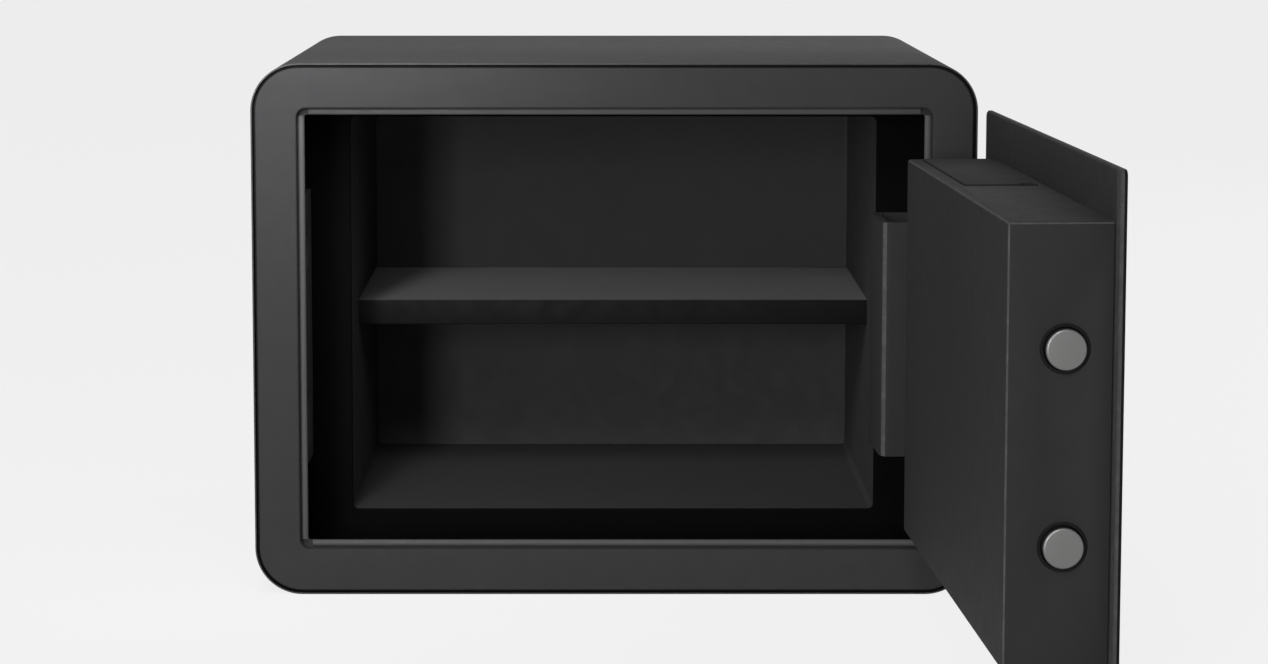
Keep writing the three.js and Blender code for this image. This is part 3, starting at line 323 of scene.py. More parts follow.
def make_finish(material, base, rough, metal, grain, peel, mottle, rough_change,
                wear_and_highlight=None, wear_and_highlight_share=0.5, wear_and_highlight_least=0.0, rim=None, specular=0.5):
    """Give a material grain, slow colour change, uneven gloss, edges lightened by wear and by painted highlight, and
    painted shade in rims.
    """
    material.use_nodes = True
    tree = material.node_tree
    place = out_of(tree, "ShaderNodeTexCoord", output="Object")
    cloud = spread(tree, noise(tree, place, CLOUD_SCALE, 4), 0.3, 0.7, 0, 1)
    tone = mixed(tree, cloud, shade(base, 1 - mottle), shade(base, 1 + mottle))
    fine = noise(tree, place, grain[0], 2)
    fleck = maths(tree, "MULTIPLY", spread(tree, fine, 0.35, 0.65, 0, 1), 0.5)
    tone = mixed(tree, fleck, tone, shade(base, 1 + 2 * mottle))
    if wear_and_highlight is not None:
        # Marked edges are lightened: partly wear, partly painted highlight.
        patch = spread(tree, noise(tree, place, WEAR_AND_HIGHLIGHT_SCALE, 5, 0.7), 0.45, 0.62, wear_and_highlight_least, wear_and_highlight_share)
        tone = mixed(tree, maths(tree, "MULTIPLY", marked(tree, "wear_and_highlight_edge"), patch), tone, shade(wear_and_highlight))
    # Faces marked in the rim attribute take the rim colour, which is painted shade.
    if rim is not None:
        tone = mixed(tree, marked(tree, "painted_shade_rim"), tone, shade(rim))
    gloss = spread(tree, noise(tree, place, GLOSS_SCALE, 4), 0.3, 0.7, rough - rough_change, rough + rough_change)
    swell = {"Height": noise(tree, place, peel[0], 2), "Strength": peel[1] * RELIEF, "Distance": PEEL_DEPTH}
    relief = {"Height": fine, "Strength": grain[1] * RELIEF, "Distance": GRAIN_DEPTH,
              "Normal": out_of(tree, "ShaderNodeBump", swell)}
    fill(tree, tree.nodes["Principled BSDF"].inputs, {
        "Base Color": tone, "Roughness": gloss, "Metallic": metal, "Specular IOR Level": specular,
        "Normal": out_of(tree, "ShaderNodeBump", relief),
    })


def shelf_cover():
    """The flocked coat on the shelf's upper side, with painted shade that darkens it towards the back."""
    material = finish("shelf_cover")
    tree = material.node_tree
    shader = tree.nodes["Principled BSDF"].inputs
    place = out_of(tree, "ShaderNodeTexCoord", output="Object")
    # Painted shade: the coat darkens towards the back of the shelf.
    depth = spread(tree, out_of(tree, "ShaderNodeSeparateXYZ", {0: place}, "Y"), -0.02, 0.1, 0, 0.75)
    tone = mixed(tree, depth, shader["Base Color"].links[0].from_socket, shade(cabinet().lining, 0.35))
    fill(tree, shader, {"Base Color": tone, "Sheen Weight": 0.2, "Sheen Roughness": 0.45})
    return material


# Marks on faces

def local(test, place=CABINET_PLACE):
    """Make a test of a centre, in a place's own millimetres, and a normal into a test of a face."""
    back = place.inverted()
    turn = back.to_3x3().normalized()
    return lambda face: test(back @ face.center, (turn @ face.normal).normalized())


def mark_faces(mesh, name, value):
    """Give each face a value, found from the face, in an attribute that the finishes read."""
    data = mesh.attributes.new(name, "FLOAT", "FACE").data
    data.foreach_set("value", [float(value(face)) for face in mesh.polygons])


def mark_wear_and_highlight_edges(mesh, width=1.3):
    """Mark the narrow faces, which are the rounded edges, for the finishes to lighten as wear and as painted
    highlight.
    """
    def narrow(face):
        sides = [(mesh.vertices[a].co - mesh.vertices[b].co).length for a, b in face.edge_keys]
        return face.area / max(*sides, 1e-9) < width * MM

    mark_faces(mesh, "wear_and_highlight_edge", narrow)


def mark_folds(mesh, gets_painted_shade, upper=0.0, steep=0.84, reach=9):
    """Mark the outer corners of a door piece, and some of its upper side, for a painted highlight.

    The test says which faces get painted shade.
    """
    back = DOOR_PLACE.inverted()
    low, high = corners_of([back @ vertex.co for vertex in mesh.vertices])

    def wear_and_highlight_marks(centre, normal):
        corner = sum(min(c - a, b - c) < reach for a, b, c in zip(low, high, centre)) > 1
        slant = max(abs(part) for part in normal) < steep
        return 1.0 if corner and slant else upper if normal.z > 0.99 else 0.0

    mark_faces(mesh, "wear_and_highlight_edge", local(wear_and_highlight_marks, DOOR_PLACE))
    mark_faces(mesh, "painted_shade_rim", local(gets_painted_shade, DOOR_PLACE))


def facing_out(centre, normal):
    """How far a face of the cabinet's front looks away from the middle of the cabinet."""
    across, height = centre.x, centre.z - (BODY_LOW.z + BODY_HIGH.z) / 2
    return (normal.x * across + normal.z * height) / max(math.hypot(across, height), 1)


def cover_faces(mesh, material, test):
    """Give a second material to the faces for which a test is true."""
    mesh.materials.append(material)
    for face in mesh.polygons:
        face.material_index = int(test(face))


# Meshes

MERGE_DISTANCE = 2e-6
SHARP_ANGLE = 35


def opened(mesh):
    work = bmesh.new()
    work.from_mesh(mesh)
    return work


def closed(work, mesh):
    work.to_mesh(mesh)
    work.free()
    return mesh


def merge(work):
    bmesh.ops.remove_doubles(work, verts=work.verts, dist=MERGE_DISTANCE)


def flatten(work):
    bmesh.ops.dissolve_limit(work, angle_limit=math.radians(1), verts=work.verts, edges=work.edges)


def bevel(work, edges, width, steps, clamped=True):
    bmesh.ops.bevel(
        work, geom=edges, offset=width * MM, offset_type="OFFSET", segments=steps, profile=0.5, affect="EDGES",
        clamp_overlap=clamped,
    )


def tidy(mesh, soften=None, steps=2, angle=SHARP_ANGLE):
    """Merge doubles, face outwards, and round the sharp edges by a width in millimetres."""
    work = opened(mesh)
    merge(work)
    bmesh.ops.recalc_face_normals(work, faces=work.faces)
    if soften:
        flatten(work)
        limit = math.radians(angle)
        bevel(work, [e for e in work.edges if e.is_manifold and e.calc_face_angle(0) > limit], soften, steps)
    return closed(work, mesh)


def mesh_of(points, faces, place):
    mesh = bpy.data.meshes.new("drawn")
    mesh.from_pydata([place @ Vector(point) for point in points], [], faces)
    return mesh


def lofted(rings, place, looped=False):
    """A skin through rings of points in millimetres, capped at both ends or joined end to end."""
    count = len(rings[0])
    rows = [list(range(start, start + count)) for start in range(0, len(rings) * count, count)]
    faces = []
    for first, second in zip(rows, rows[1:] + rows[:1] * looped):
        faces.extend(zip(first, first[1:] + first[:1], second[1:] + second[:1], second))
    if not looped:
        faces += [rows[0], rows[-1]]
    return tidy(mesh_of([point for ring in rings for point in ring], faces, place))


def joined_mesh(*meshes):
    """Several meshes in one. The pieces stay apart in it."""
    work = bmesh.new()
    for mesh in meshes:
        work.from_mesh(mesh)
    return closed(work, bpy.data.meshes.new("joined"))


def linked(name, data):
    """A new object in the scene."""
    made = bpy.data.objects.new(name, data)
    bpy.context.scene.collection.objects.link(made)
    return made


def piece(name, mesh, body, node, coat, angle=SHARP_ANGLE, wear_and_highlight_marks=True):
    """Turn a mesh into a finished piece that rides a body and stands for a node, if one is named."""
    mesh.name = name
    mesh.shade_smooth()
    mesh.set_sharp_from_angle(angle=math.radians(angle))
    if wear_and_highlight_marks:
        mark_wear_and_highlight_edges(mesh)
    mesh.materials.clear()
    mesh.materials.append(finish(coat))
    made = linked(name, mesh)
    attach(made, body)
    if node:
        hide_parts(node)
    return made


def eased_mesh(node, soften=0.4, steps=2, angle=SHARP_ANGLE):
    """A copy of a frame node's mesh with its edges rounded."""
    mesh = frame["nodes"][node].data.copy()
    mesh.materials.clear()
    return tidy(mesh, soften, steps, angle)


def eased(node, name, body, coat, soften=0.4, steps=2, angle=SHARP_ANGLE, wear_and_highlight_marks=True):
    """A piece made of a frame node with its edges rounded, standing for the node."""
    return piece(name, eased_mesh(node, soften, steps, angle), body, node, coat, wear_and_highlight_marks=wear_and_highlight_marks)


def quarter(radius, steps=4):
    """Points of a quarter round, as (distance in from the side, depth behind the face)."""
    turns = [math.pi / 2 * step / steps for step in range(steps + 1)]
    return [(radius * (1 - math.sin(turn)), radius * (1 - math.cos(turn))) for turn in turns]


def rounded(box, inset, radius, steps):
    """A box of (left, right, bottom, top), drawn in and given round corners, as (across, height)."""
    radius = max(radius, 0.01)
    left, right = box[0] + inset + radius, box[1] - inset - radius
    bottom, top = box[2] + inset + radius, box[3] - inset - radius
    outline = []
    for corner, (x, y) in enumerate(((right, top), (left, top), (left, bottom), (right, bottom))):
        for step in range(steps + 1):
            turn = math.pi / 2 * (corner + step / steps)
            outline.append((x + radius * math.cos(turn), y + radius * math.sin(turn)))
    return outline


def body_outline(inset, steps):
    return rounded(BODY, inset, mm(cabinet().corner_radius) - inset, steps)


def opening_outline(growth, steps):
    """The outline of the door opening, grown outwards."""
    given = cabinet()
    return rounded(LEDGE, -growth - mm(given.ledge_width), mm(given.opening_corner) + growth, steps)


def liner_outline(growth, steps):
    """The outline of the inner box, grown outwards."""
    return rounded(LINER, -growth, mm(cabinet().liner_corner) + growth, steps)


def at_depth(outline, depth):
    return [(x, depth, z) for x, z in outline]


def stacked(outline, steps, rows):
    """Rings of one of the outlines above, for rows of (its inset or growth, depth)."""
    return [at_depth(outline(change, steps), depth) for change, depth in rows]


def circle(steps):
    return [2 * math.pi * step / steps for step in range(steps)]


def round_ring(radius, rise, steps):
    return [(radius * math.cos(turn), radius * math.sin(turn), rise) for turn in circle(steps)]


def turned_mesh(profile, centre, across, place, steps, looped=False):
    """A round piece from a profile of (radius, distance along the axis), which ends at both poles or is looped.

    The axis runs across, or else in depth.
    """
    x, y, z = centre
    rings = []
    for radius, along in profile:
        ring = round_ring(radius, along, steps)
        rings.append([(x + c, y + a, z + b) if across else (x + a, y + c, z + b) for a, b, c in ring])
    return lofted(rings, place, looped)


def softened(profile, radius, steps=4):
    """A profile with each inner corner rounded, as far as its neighbours leave room."""
    out = [profile[0]]
    for before, corner, after in zip(profile, profile[1:], profile[2:]):
        a, b, c = Vector(before), Vector(corner), Vector(after)
        reach = min(radius, (a - b).length * 0.45, (c - b).length * 0.45)
        if reach < 1e-4:
            out.append(corner)
            continue
        start, end = b + (a - b).normalized() * reach, b + (c - b).normalized() * reach
        for step in range(steps + 1):
            share = step / steps
            out.append(tuple((1 - share) ** 2 * start + 2 * share * (1 - share) * b + share ** 2 * end))
    return out + [profile[-1]]


# Geometry node trees

def new_tree(name, inputs):
    """An empty geometry tree with named inputs and a finish; returns the tree and the inputs' sockets.

    Each input is given its default, or its kind of socket where it has none.
    """
    kinds = {float: "NodeSocketFloat", int: "NodeSocketInt"}
    tree = bpy.data.node_groups.new(name, "GeometryNodeTree")
    tree.interface.new_socket("Geometry", in_out="INPUT", socket_type="NodeSocketGeometry")
    for label, value in {**inputs, "Finish": "NodeSocketMaterial"}.items():
        socket = tree.interface.new_socket(label, in_out="INPUT", socket_type=kinds.get(type(value), value))
        if type(value) in kinds:
            socket.default_value = value
    tree.interface.new_socket("Geometry", in_out="OUTPUT", socket_type="NodeSocketGeometry")
    return tree, tree.nodes.new("NodeGroupInput").outputs


def end_tree(tree, geometry, finish_socket):
    real = out_of(tree, "GeometryNodeRealizeInstances", {"Geometry": geometry})
    dressed = out_of(tree, "GeometryNodeSetMaterial", {"Geometry": real, "Material": finish_socket})
    fill(tree, tree.nodes.new("NodeGroupOutput").inputs, {"Geometry": dressed})
    return tree


def grown(tree, values, start=None):
    """The plain mesh that a tree makes from a start mesh and its named values."""
    names = {item.name: item.identifier for item in tree.interface.items_tree if item.in_out == "INPUT"}
    holder = linked("growing", start or bpy.data.meshes.new("start"))
    modifier = holder.modifiers.new("growing", "NODES")
    modifier.node_group = tree
    for label, value in values.items():
        modifier[names[label]] = value
    mesh = plain_mesh(holder)
    if not mesh.polygons:
        raise RuntimeError(f"the tree {tree.name} made no faces")
    return mesh


def plain_mesh(holder):
    """The mesh that an object shows. The object is removed."""
    graph = bpy.context.evaluated_depsgraph_get()
    mesh = bpy.data.meshes.new_from_object(holder.evaluated_get(graph), depsgraph=graph)
    bpy.data.objects.remove(holder)
    return mesh


def wrap_tree():
    """A steel sheet wrapped round a rectangle with round corners, standing on its base."""
    tree, given = new_tree("safe_wrap", {
        "Width": 0.38, "Height": 0.282, "Depth": 0.277, "Corner Radius": 0.025, "Wall": 0.001,
        "Lip Rounding": 0.00045, "Corner Steps": 20,
    })

    def rectangle(width, height, radius, steps):
        curve = out_of(tree, "GeometryNodeCurvePrimitiveQuadrilateral", {"Width": width, "Height": height})
        corners = {"Curve": curve, "Radius": radius, "Count": steps}
        return out_of(tree, "GeometryNodeFilletCurve", corners, mode="POLY")

    wall = given["Wall"]
    radius = maths(tree, "SUBTRACT", given["Corner Radius"], maths(tree, "MULTIPLY", wall, 0.5))
    width, height = (maths(tree, "SUBTRACT", given[side], wall) for side in ("Width", "Height"))
    path = rectangle(width, height, radius, given["Corner Steps"])
    path = out_of(tree, "GeometryNodeSetCurveNormal", {"Curve": path}, mode="Z_UP")
    section = rectangle(wall, given["Depth"], given["Lip Rounding"], 3)
    sheet = out_of(tree, "GeometryNodeCurveToMesh", {"Curve": path, "Profile Curve": section})
    rise = out_of(tree, "ShaderNodeCombineXYZ", {"Z": maths(tree, "MULTIPLY", given["Height"], 0.5)})
    stand = {"Geometry": sheet, "Rotation": (math.pi / 2, 0, 0), "Translation": rise}
    return end_tree(tree, out_of(tree, "GeometryNodeTransform", stand), given["Finish"])


def bead_tree():
    """A pressed bead with round ends, along X, half sunk in the sheet it's pressed from."""
    tree, given = new_tree("safe_bead", {
        "Length": 0.3, "Width": 0.003, "Rise": 0.0009, "End Length": 0.002, "Steps": 320,
    })
    half = maths(tree, "MULTIPLY", given["Length"], 0.5)
    ends = {
        "Start": out_of(tree, "ShaderNodeCombineXYZ", {"X": maths(tree, "MULTIPLY", half, -1.0)}),
        "End": out_of(tree, "ShaderNodeCombineXYZ", {"X": half}),
    }
    line = out_of(tree, "GeometryNodeCurvePrimitiveLine", ends)
    line = out_of(tree, "GeometryNodeResampleCurve", {"Curve": line, "Count": given["Steps"]})
    place = out_of(tree, "GeometryNodeInputPosition")
    across = maths(tree, "ABSOLUTE", out_of(tree, "ShaderNodeSeparateXYZ", {"Vector": place}))
    to_end = maths(tree, "DIVIDE", maths(tree, "SUBTRACT", half, across), given["End Length"])
    missing = maths(tree, "SUBTRACT", 1.0, maths(tree, "MINIMUM", to_end, 1.0))
    square = maths(tree, "SUBTRACT", 1.0, maths(tree, "MULTIPLY", missing, missing))
    swell = maths(tree, "SQRT", maths(tree, "MAXIMUM", square, 0.01))
    line = out_of(tree, "GeometryNodeSetCurveRadius", {"Curve": line, "Radius": swell})
    line = out_of(tree, "GeometryNodeSetCurveNormal", {"Curve": line}, mode="Z_UP")
    circle_curve = out_of(tree, "GeometryNodeCurvePrimitiveCircle", {"Resolution": 16, "Radius": 0.5})
    both_sides = maths(tree, "MULTIPLY", given["Rise"], 2.0)
    size = out_of(tree, "ShaderNodeCombineXYZ", {"X": given["Width"], "Y": both_sides, "Z": 1.0})
    section = out_of(tree, "GeometryNodeTransform", {"Geometry": circle_curve, "Scale": size})
    sweep = {"Curve": line, "Profile Curve": section, "Fill Caps": True}
    return end_tree(tree, out_of(tree, "GeometryNodeCurveToMesh", sweep), given["Finish"])


def repeat_tree():
    """One piece repeated at points, each turned by the point's own turn and changed a little in size."""
    tree, given = new_tree("safe_repeat", {
        "Piece": "NodeSocketObject", "Size": 1.0, "Size Change": 0.0, "Seed": 7,
    })
    model = out_of(tree, "GeometryNodeObjectInfo", {"Object": given["Piece"]}, "Geometry")
    low, high = (maths(tree, kind, given["Size"], given["Size Change"]) for kind in ("SUBTRACT", "ADD"))
    drawn = {2: low, 3: high, "Seed": given["Seed"]}
    size = out_of(tree, "FunctionNodeRandomValue", drawn, 1, data_type="FLOAT")
    turn = out_of(tree, "GeometryNodeInputNamedAttribute", {"Name": "turn"}, data_type="FLOAT_VECTOR")
    dots = out_of(tree, "GeometryNodeMeshToPoints", {"Mesh": given["Geometry"]})
    copies = {"Points": dots, "Instance": model, "Rotation": turn, "Scale": size}
    return end_tree(tree, out_of(tree, "GeometryNodeInstanceOnPoints", copies), given["Finish"])


def repeated(one, places, coat, change=0.0):
    """A mesh drawn in metres round the origin, repeated at matrices in metres."""
    one.shade_smooth()
    one.set_sharp_from_angle(angle=math.radians(SHARP_ANGLE))
    model = linked("one", one)
    dots = bpy.data.meshes.new("dots")
    dots.from_pydata([matrix.translation for matrix in places], [], [])
    turn = dots.attributes.new("turn", "FLOAT_VECTOR", "POINT")
    for index, matrix in enumerate(places):
        turn.data[index].vector = matrix.to_euler("XYZ")
    values = {"Piece": model, "Size": 1.0, "Size Change": change, "Seed": 7, "Finish": finish(coat)}
    mesh = grown(bpy.data.node_groups.get("safe_repeat") or repeat_tree(), values, dots)
    bpy.data.objects.remove(model)
    return mesh


def axes_place(place, point, across, up):
    """A matrix in metres that puts a piece's X and Y along two local directions, at a local point."""
    out = Vector(across).cross(Vector(up))
    turn = place.to_3x3() @ Matrix((across, up, out)).transposed() @ Matrix.Scale(1 / MM, 3)
    return Matrix.Translation(place @ Vector(point)) @ turn.to_4x4()


def head_mesh(radius, height):
    """A pan screw head with a cross recess, in metres, facing +Z and seated at zero."""
    steps = 48
    cross_long, cross_half = radius * 0.62, radius * 0.14

    def cross(turn, share):
        across, up = max(abs(math.cos(turn)), 1e-6), max(abs(math.sin(turn)), 1e-6)
        return share * max(min(cross_long / across, cross_half / up), min(cross_half / across, cross_long / up))

    rings = [round_ring(radius * reach, height * rise, steps) for reach, rise in (
        (1, 0), (1, 0.35), (0.93, 0.68), (0.8, 0.9),
    )]
    for share, rise in ((1, height), (0.75, height * 0.3)):
        rings.append([(cross(t, share) * math.cos(t), cross(t, share) * math.sin(t), rise) for t in circle(steps)])
    return lofted(rings, ORIGIN)


# Operators

class SafeStage(bpy.types.Operator):
    """Make the plain floor, the soft lamps, the world and the camera"""
    bl_idname = "safe.stage"
    bl_label = "Stage"

    def execute(self, context):
        scene = context.scene
        given = scene.safe_stage
        plain = (*given.backdrop, 1)

        world = bpy.data.worlds.new("plain_sky")
        world.use_nodes = True
        scene.world = world
        tree = world.node_tree
        lit = tree.nodes["Background"]
        fill(tree, lit.inputs, {"Color": (1, 1, 1, 1), "Strength": given.sky})
        seen = out_of(tree, "ShaderNodeBackground", {"Color": plain, "Strength": 1})
        self.choose(tree, lit.outputs[0], seen, tree.nodes["World Output"])

        material = bpy.data.materials.new("plain_floor")
        material.use_nodes = True
        tree = material.node_tree
        matt = tree.nodes["Principled BSDF"]
        fill(tree, matt.inputs, {"Base Color": plain, "Roughness": 0.9, "Specular IOR Level": 0.1})
        glow = out_of(tree, "ShaderNodeEmission", {"Color": plain, "Strength": 1.13})
        seen = out_of(tree, "ShaderNodeMixShader", {0: 0.85, 1: matt.outputs[0], 2: glow})
        self.choose(tree, matt.outputs[0], seen, tree.nodes["Material Output"])

        floor = bpy.data.meshes.new("floor")
        far = 20
        floor.from_pydata([(-far, -far, 0), (far, -far, 0), (far, far, 0), (-far, far, 0)], [], [(0, 1, 2, 3)])
        floor.materials.append(material)
        ground = linked("floor", floor)

        aim = (0, -0.1, 0.12)
        self.lamp("key_lamp", (-0.6, -2.3, 0.42), aim, (0.3, 0.6), given.key_power)
        self.lamp("high_lamp", (-0.32, -2.4, 1.9), aim, (0.5, 0.9), given.high_power)
        self.lamp("corner_lamp", (-0.18, -0.3, 0.36), (-0.21, 0, 0.28), (0.15, 0.15), given.corner_power)
        self.lamp("fill_lamp", (1.3, 1.6, 0.9), aim, (0.9, 0.9), given.fill_power)
        self.lamp("side_lamp", (1.7, 0.15, 0.7), aim, (0.9, 0.9), given.side_power)

        camera = bpy.data.cameras.new("camera")
        camera.lens = given.lens
        camera.sensor_width = 36
        camera.shift_x = given.shift_across
        camera.shift_y = given.shift_up
        eye = linked("camera", camera)
        eye.location = (given.eye_across, given.eye_back, given.eye_height)
        eye.rotation_euler = (math.pi / 2 - given.tilt, 0, 0)
        scene.camera = eye
        scene.view_settings.view_transform = "Standard"
        return {"FINISHED"}

    def choose(self, tree, plain, seen, target):
        """Show one shader to the camera, to mirrors and through glass, and the other to all else."""
        path = tree.nodes.new("ShaderNodeLightPath").outputs
        direct = maths(tree, "MAXIMUM", path["Is Camera Ray"], path["Is Glossy Ray"])
        either = maths(tree, "MAXIMUM", direct, path["Is Transmission Ray"])
        shown = out_of(tree, "ShaderNodeMixShader", {0: either, 1: plain, 2: seen})
        fill(tree, target.inputs, {"Surface": shown})

    def lamp(self, name, place, aim, size, watts):
        light = bpy.data.lights.new(name, "AREA")
        light.shape = "RECTANGLE"
        light.size, light.size_y = size
        light.energy = watts
        holder = linked(name, light)
        holder.location = place
        holder.rotation_euler = (Vector(aim) - Vector(place)).to_track_quat("-Z", "Y").to_euler()


class SafeWrap(bpy.types.Operator):
    """Sweep the steel wrap of the cabinet round its path"""
    bl_idname = "safe.wrap"
    bl_label = "Cabinet Wrap"

    def execute(self, context):
        given = cabinet()
        width, depth, height = ((b - a) * MM for a, b in zip(BODY_LOW, BODY_HIGH))
        mesh = tidy(grown(wrap_tree(), {
            "Width": width, "Height": height, "Depth": depth, "Corner Radius": given.corner_radius,
            "Wall": given.wall, "Lip Rounding": given.lip_round, "Corner Steps": 20, "Finish": finish("body_paint"),
        }))
        # The wrap's faces that look in towards the middle, inside the seam, get painted shade.
        mark_faces(mesh, "painted_shade_rim", local(lambda centre, normal: facing_out(centre, normal) < -0.5))
        piece("cabinet_wrap", mesh, "cabinet", "outer_shell", "body_paint")
        return {"FINISHED"}


class SafeFrontFrame(bpy.types.Operator):
    """Loft the front frame with its rounded opening, ledge and skirt, and press the beads into the ledge"""
    bl_idname = "safe.front_frame"
    bl_label = "Front Frame"

    def execute(self, context):
        given = cabinet()
        inset, edge, width = mm(given.frame_inset), mm(given.frame_round), mm(given.ledge_width)
        base = LEDGE_DEPTH + mm(given.bead_rise)
        steps, skirt_back, wall = 14, 8, 2
        ledge_fold, ledge_edge = 0.4, 0.3
        skirt = [(SKIRT_INSET, skirt_back), (SKIRT_INSET, PLATE_BACK), (inset, PLATE_BACK)]
        face = [(inset + across, depth) for across, depth in quarter(edge)[::-1]]
        opening = quarter(mm(given.opening_round), 6) + [
            (0, base - ledge_fold), (-ledge_fold, base), (-width + ledge_edge, base), (-width, base + ledge_edge),
            (-width, LEDGE_BACK), (wall, LEDGE_BACK), (wall, PLATE_BACK),
        ]
        inner_skirt = [(SKIRT_INSET + wall, PLATE_BACK), (SKIRT_INSET + wall, skirt_back)]
        rings = stacked(body_outline, steps, skirt + face) + stacked(opening_outline, steps, opening)
        mesh = lofted(rings + stacked(body_outline, steps, inner_skirt), CABINET_PLACE, looped=True)

        # Faces in the seam round the frame and on its skirt get painted shade.
        def seam_shade_test(centre, normal):
            on_skirt = normal.y < -0.6 and abs(centre.y - PLATE_BACK) < 0.5
            return centre.y > edge and (facing_out(centre, normal) > 0.5 or on_skirt)

        mark_faces(mesh, "painted_shade_rim", local(seam_shade_test))
        piece("frame_face", mesh, "cabinet", "front_frame", "body_paint", wear_and_highlight_marks=False)
        self.beads(width, mm(given.bead_rise), base)
        return {"FINISHED"}

    def beads(self, width, rise, base):
        tree = bead_tree()
        left, right, bottom, top = LEDGE
        middle_x, middle_z, half = (left + right) / 2, (bottom + top) / 2, width / 2
        long_x, long_z = right - left - 1.2 * width, top - bottom - 0.2 * width
        for name, x, z, reach, across, up in (
            ("ledge_bead_top", middle_x, top + half, long_x, ACROSS, UP),
            ("ledge_bead_bottom", middle_x, bottom - half, long_x, ACROSS, UP),
            ("ledge_bead_left", left - half, middle_z, long_z, UP, ACROSS),
            ("ledge_bead_right", right + half, middle_z, long_z, UP, ACROSS),
        ):
            # The beads take the rubbed paint all over: a painted highlight, partly wear.
            mesh = grown(tree, {
                "Length": reach * MM, "Width": (width - 0.1) * MM, "Rise": rise * MM, "End Length": 1.8 * MM,
                "Steps": 320, "Finish": finish("rubbed_and_lit_paint"),
            })
            mesh.transform(axes_place(CABINET_PLACE, (x, base, z), across, up))
            piece(name, tidy(mesh), "cabinet", None, "rubbed_and_lit_paint", angle=60, wear_and_highlight_marks=False)


class SafeLiner(bpy.types.Operator):
    """Loft the inner box with its front flange and rounded lip, and turn the anchor plugs"""
    bl_idname = "safe.liner"
    bl_label = "Inner Box"

    def execute(self, context):
        front, back, wall = LINER_LOW.y, LINER_HIGH.y - LINER_WALL, LINER_WALL
        lip, foot, steps = 1.2, 1, 8
        outside = [(wall, back + wall), (wall, front + wall)]
        flange = [(SKIRT_INSET, front + wall), (SKIRT_INSET, front)]
        inside = [(across, front + depth) for across, depth in quarter(lip)]
        inside += [(0, back - foot), (-0.3 * foot, back - 0.3 * foot), (-foot, back)]
        rings = stacked(liner_outline, steps, outside) + stacked(body_outline, steps, flange)
        mesh = lofted(rings + stacked(liner_outline, steps, inside), CABINET_PLACE)
        box = piece("inner_box", mesh, "cabinet", "inner_liner", "lining_paint")
        # The front flange of the inner box is painted near black, as painted shade.
        on_flange = local(lambda centre, normal: normal.y < -0.15 and centre.y < front + lip)
        cover_faces(box.data, finish("flange_painted_shade"), on_flange)
        for side in ("left", "right"):
            self.anchor_plug(side)
        return {"FINISHED"}

    def anchor_plug(self, side):
        node = "anchor_plug_" + side
        low, high, (x, _, z), (head, _, _) = span(node, CABINET_PLACE)
        stem, end = head * 0.58, high.y - low.y
        profile = [(0, 0), (head * 0.7, 0.15), (head, 0.9), (head, 2), (stem, 2), (stem, end)]
        profile = softened(profile, 0.5, 3) + [(0, end)]
        mesh = turned_mesh(profile, (x, low.y, z), False, CABINET_PLACE, 40)
        piece("hole_plug_" + side, mesh, "cabinet", node, "black_plastic")


class SafeRearPanel(bpy.types.Operator):
    """Make the rear panel with its rounded edge and weld marks"""
    bl_idname = "safe.rear_panel"
    bl_label = "Rear Panel"

    def execute(self, context):
        eased("rear_panel", "back_plate", "cabinet", "body_paint", 0.35)
        low, high = span("rear_panel", CABINET_PLACE)[:2]
        dome = ((2.6, 0), (2.3, 0.12), (1.4, 0.2), (0.5, 0.08))
        mark = lofted([round_ring(reach, rise, 24) for reach, rise in dome], ORIGIN)
        edge, depth, size_change = 8, high.y - 0.2, 0.12
        spots = [(x, z) for x in range(-150, 151, 50) for z in (low.z + edge, high.z - edge)]
        spots += [(x, z) for z in range(50, 240, 45) for x in (low.x + edge, high.x - edge)]
        places = [axes_place(CABINET_PLACE, (x, depth, z), (-1, 0, 0), UP) for x, z in spots]
        piece("weld_marks", repeated(mark, places, "body_paint", size_change), "cabinet", None, "body_paint")
        return {"FINISHED"}


class SafeShelf(bpy.types.Operator):
    """Fold the shelf and its two rails"""
    bl_idname = "safe.shelf"
    bl_label = "Shelf"

    def execute(self, context):
        tray = eased("shelf_tray", "folded_shelf", "shelf", "lining_paint", 0.55, 3).data
        # The shelf's front-facing faces get painted shade in the rim colour.
        mark_faces(tray, "painted_shade_rim", lambda face: face.normal.y < -0.6)
        cover_faces(tray, shelf_cover(), lambda face: face.normal.z > 0.5)
        for side in ("left", "right"):
            eased("shelf_rail_" + side, "rail_" + side, "cabinet", "lining_paint")
        return {"FINISHED"}


class SafeFloorFelt(bpy.types.Operator):
    """Lay the felt mat on the floor of the inner box"""
    bl_idname = "safe.floor_felt"
    bl_label = "Floor Felt"

    def execute(self, context):
        low, high = span("floor_mat", CABINET_PLACE)[:2]
        width, depth, thick = (b - a for a, b in zip(low, high))
        columns, rows = 70, 48
        soft_edge, edge_share, wave, sunk = 1.2, 0.55, 0.05, 0.06

        def surface(row, column):
            x, y = low.x + width * (column / columns), low.y + depth * (row / rows)
            soft = min(1, min(x - low.x, high.x - x, y - low.y, high.y - y) / soft_edge)
            lift = thick * (edge_share + (1 - edge_share) * math.sin(soft * math.pi / 2))
            lift += wave * math.sin(x * 0.11 + 1.3) * math.sin(y * 0.09) * soft
            return x, y, low.z + lift - sunk

        rings = []
        for row in range(rows + 1):
            line = [surface(row, column) for column in range(columns + 1)]
            rings.append(line + [(x, y, low.z) for x, y, z in reversed(line)])
        mesh = lofted(rings, CABINET_PLACE)
        made = piece("felt_mat", mesh, "cabinet", "floor_mat", "felt", angle=70)
        return {"FINISHED"}


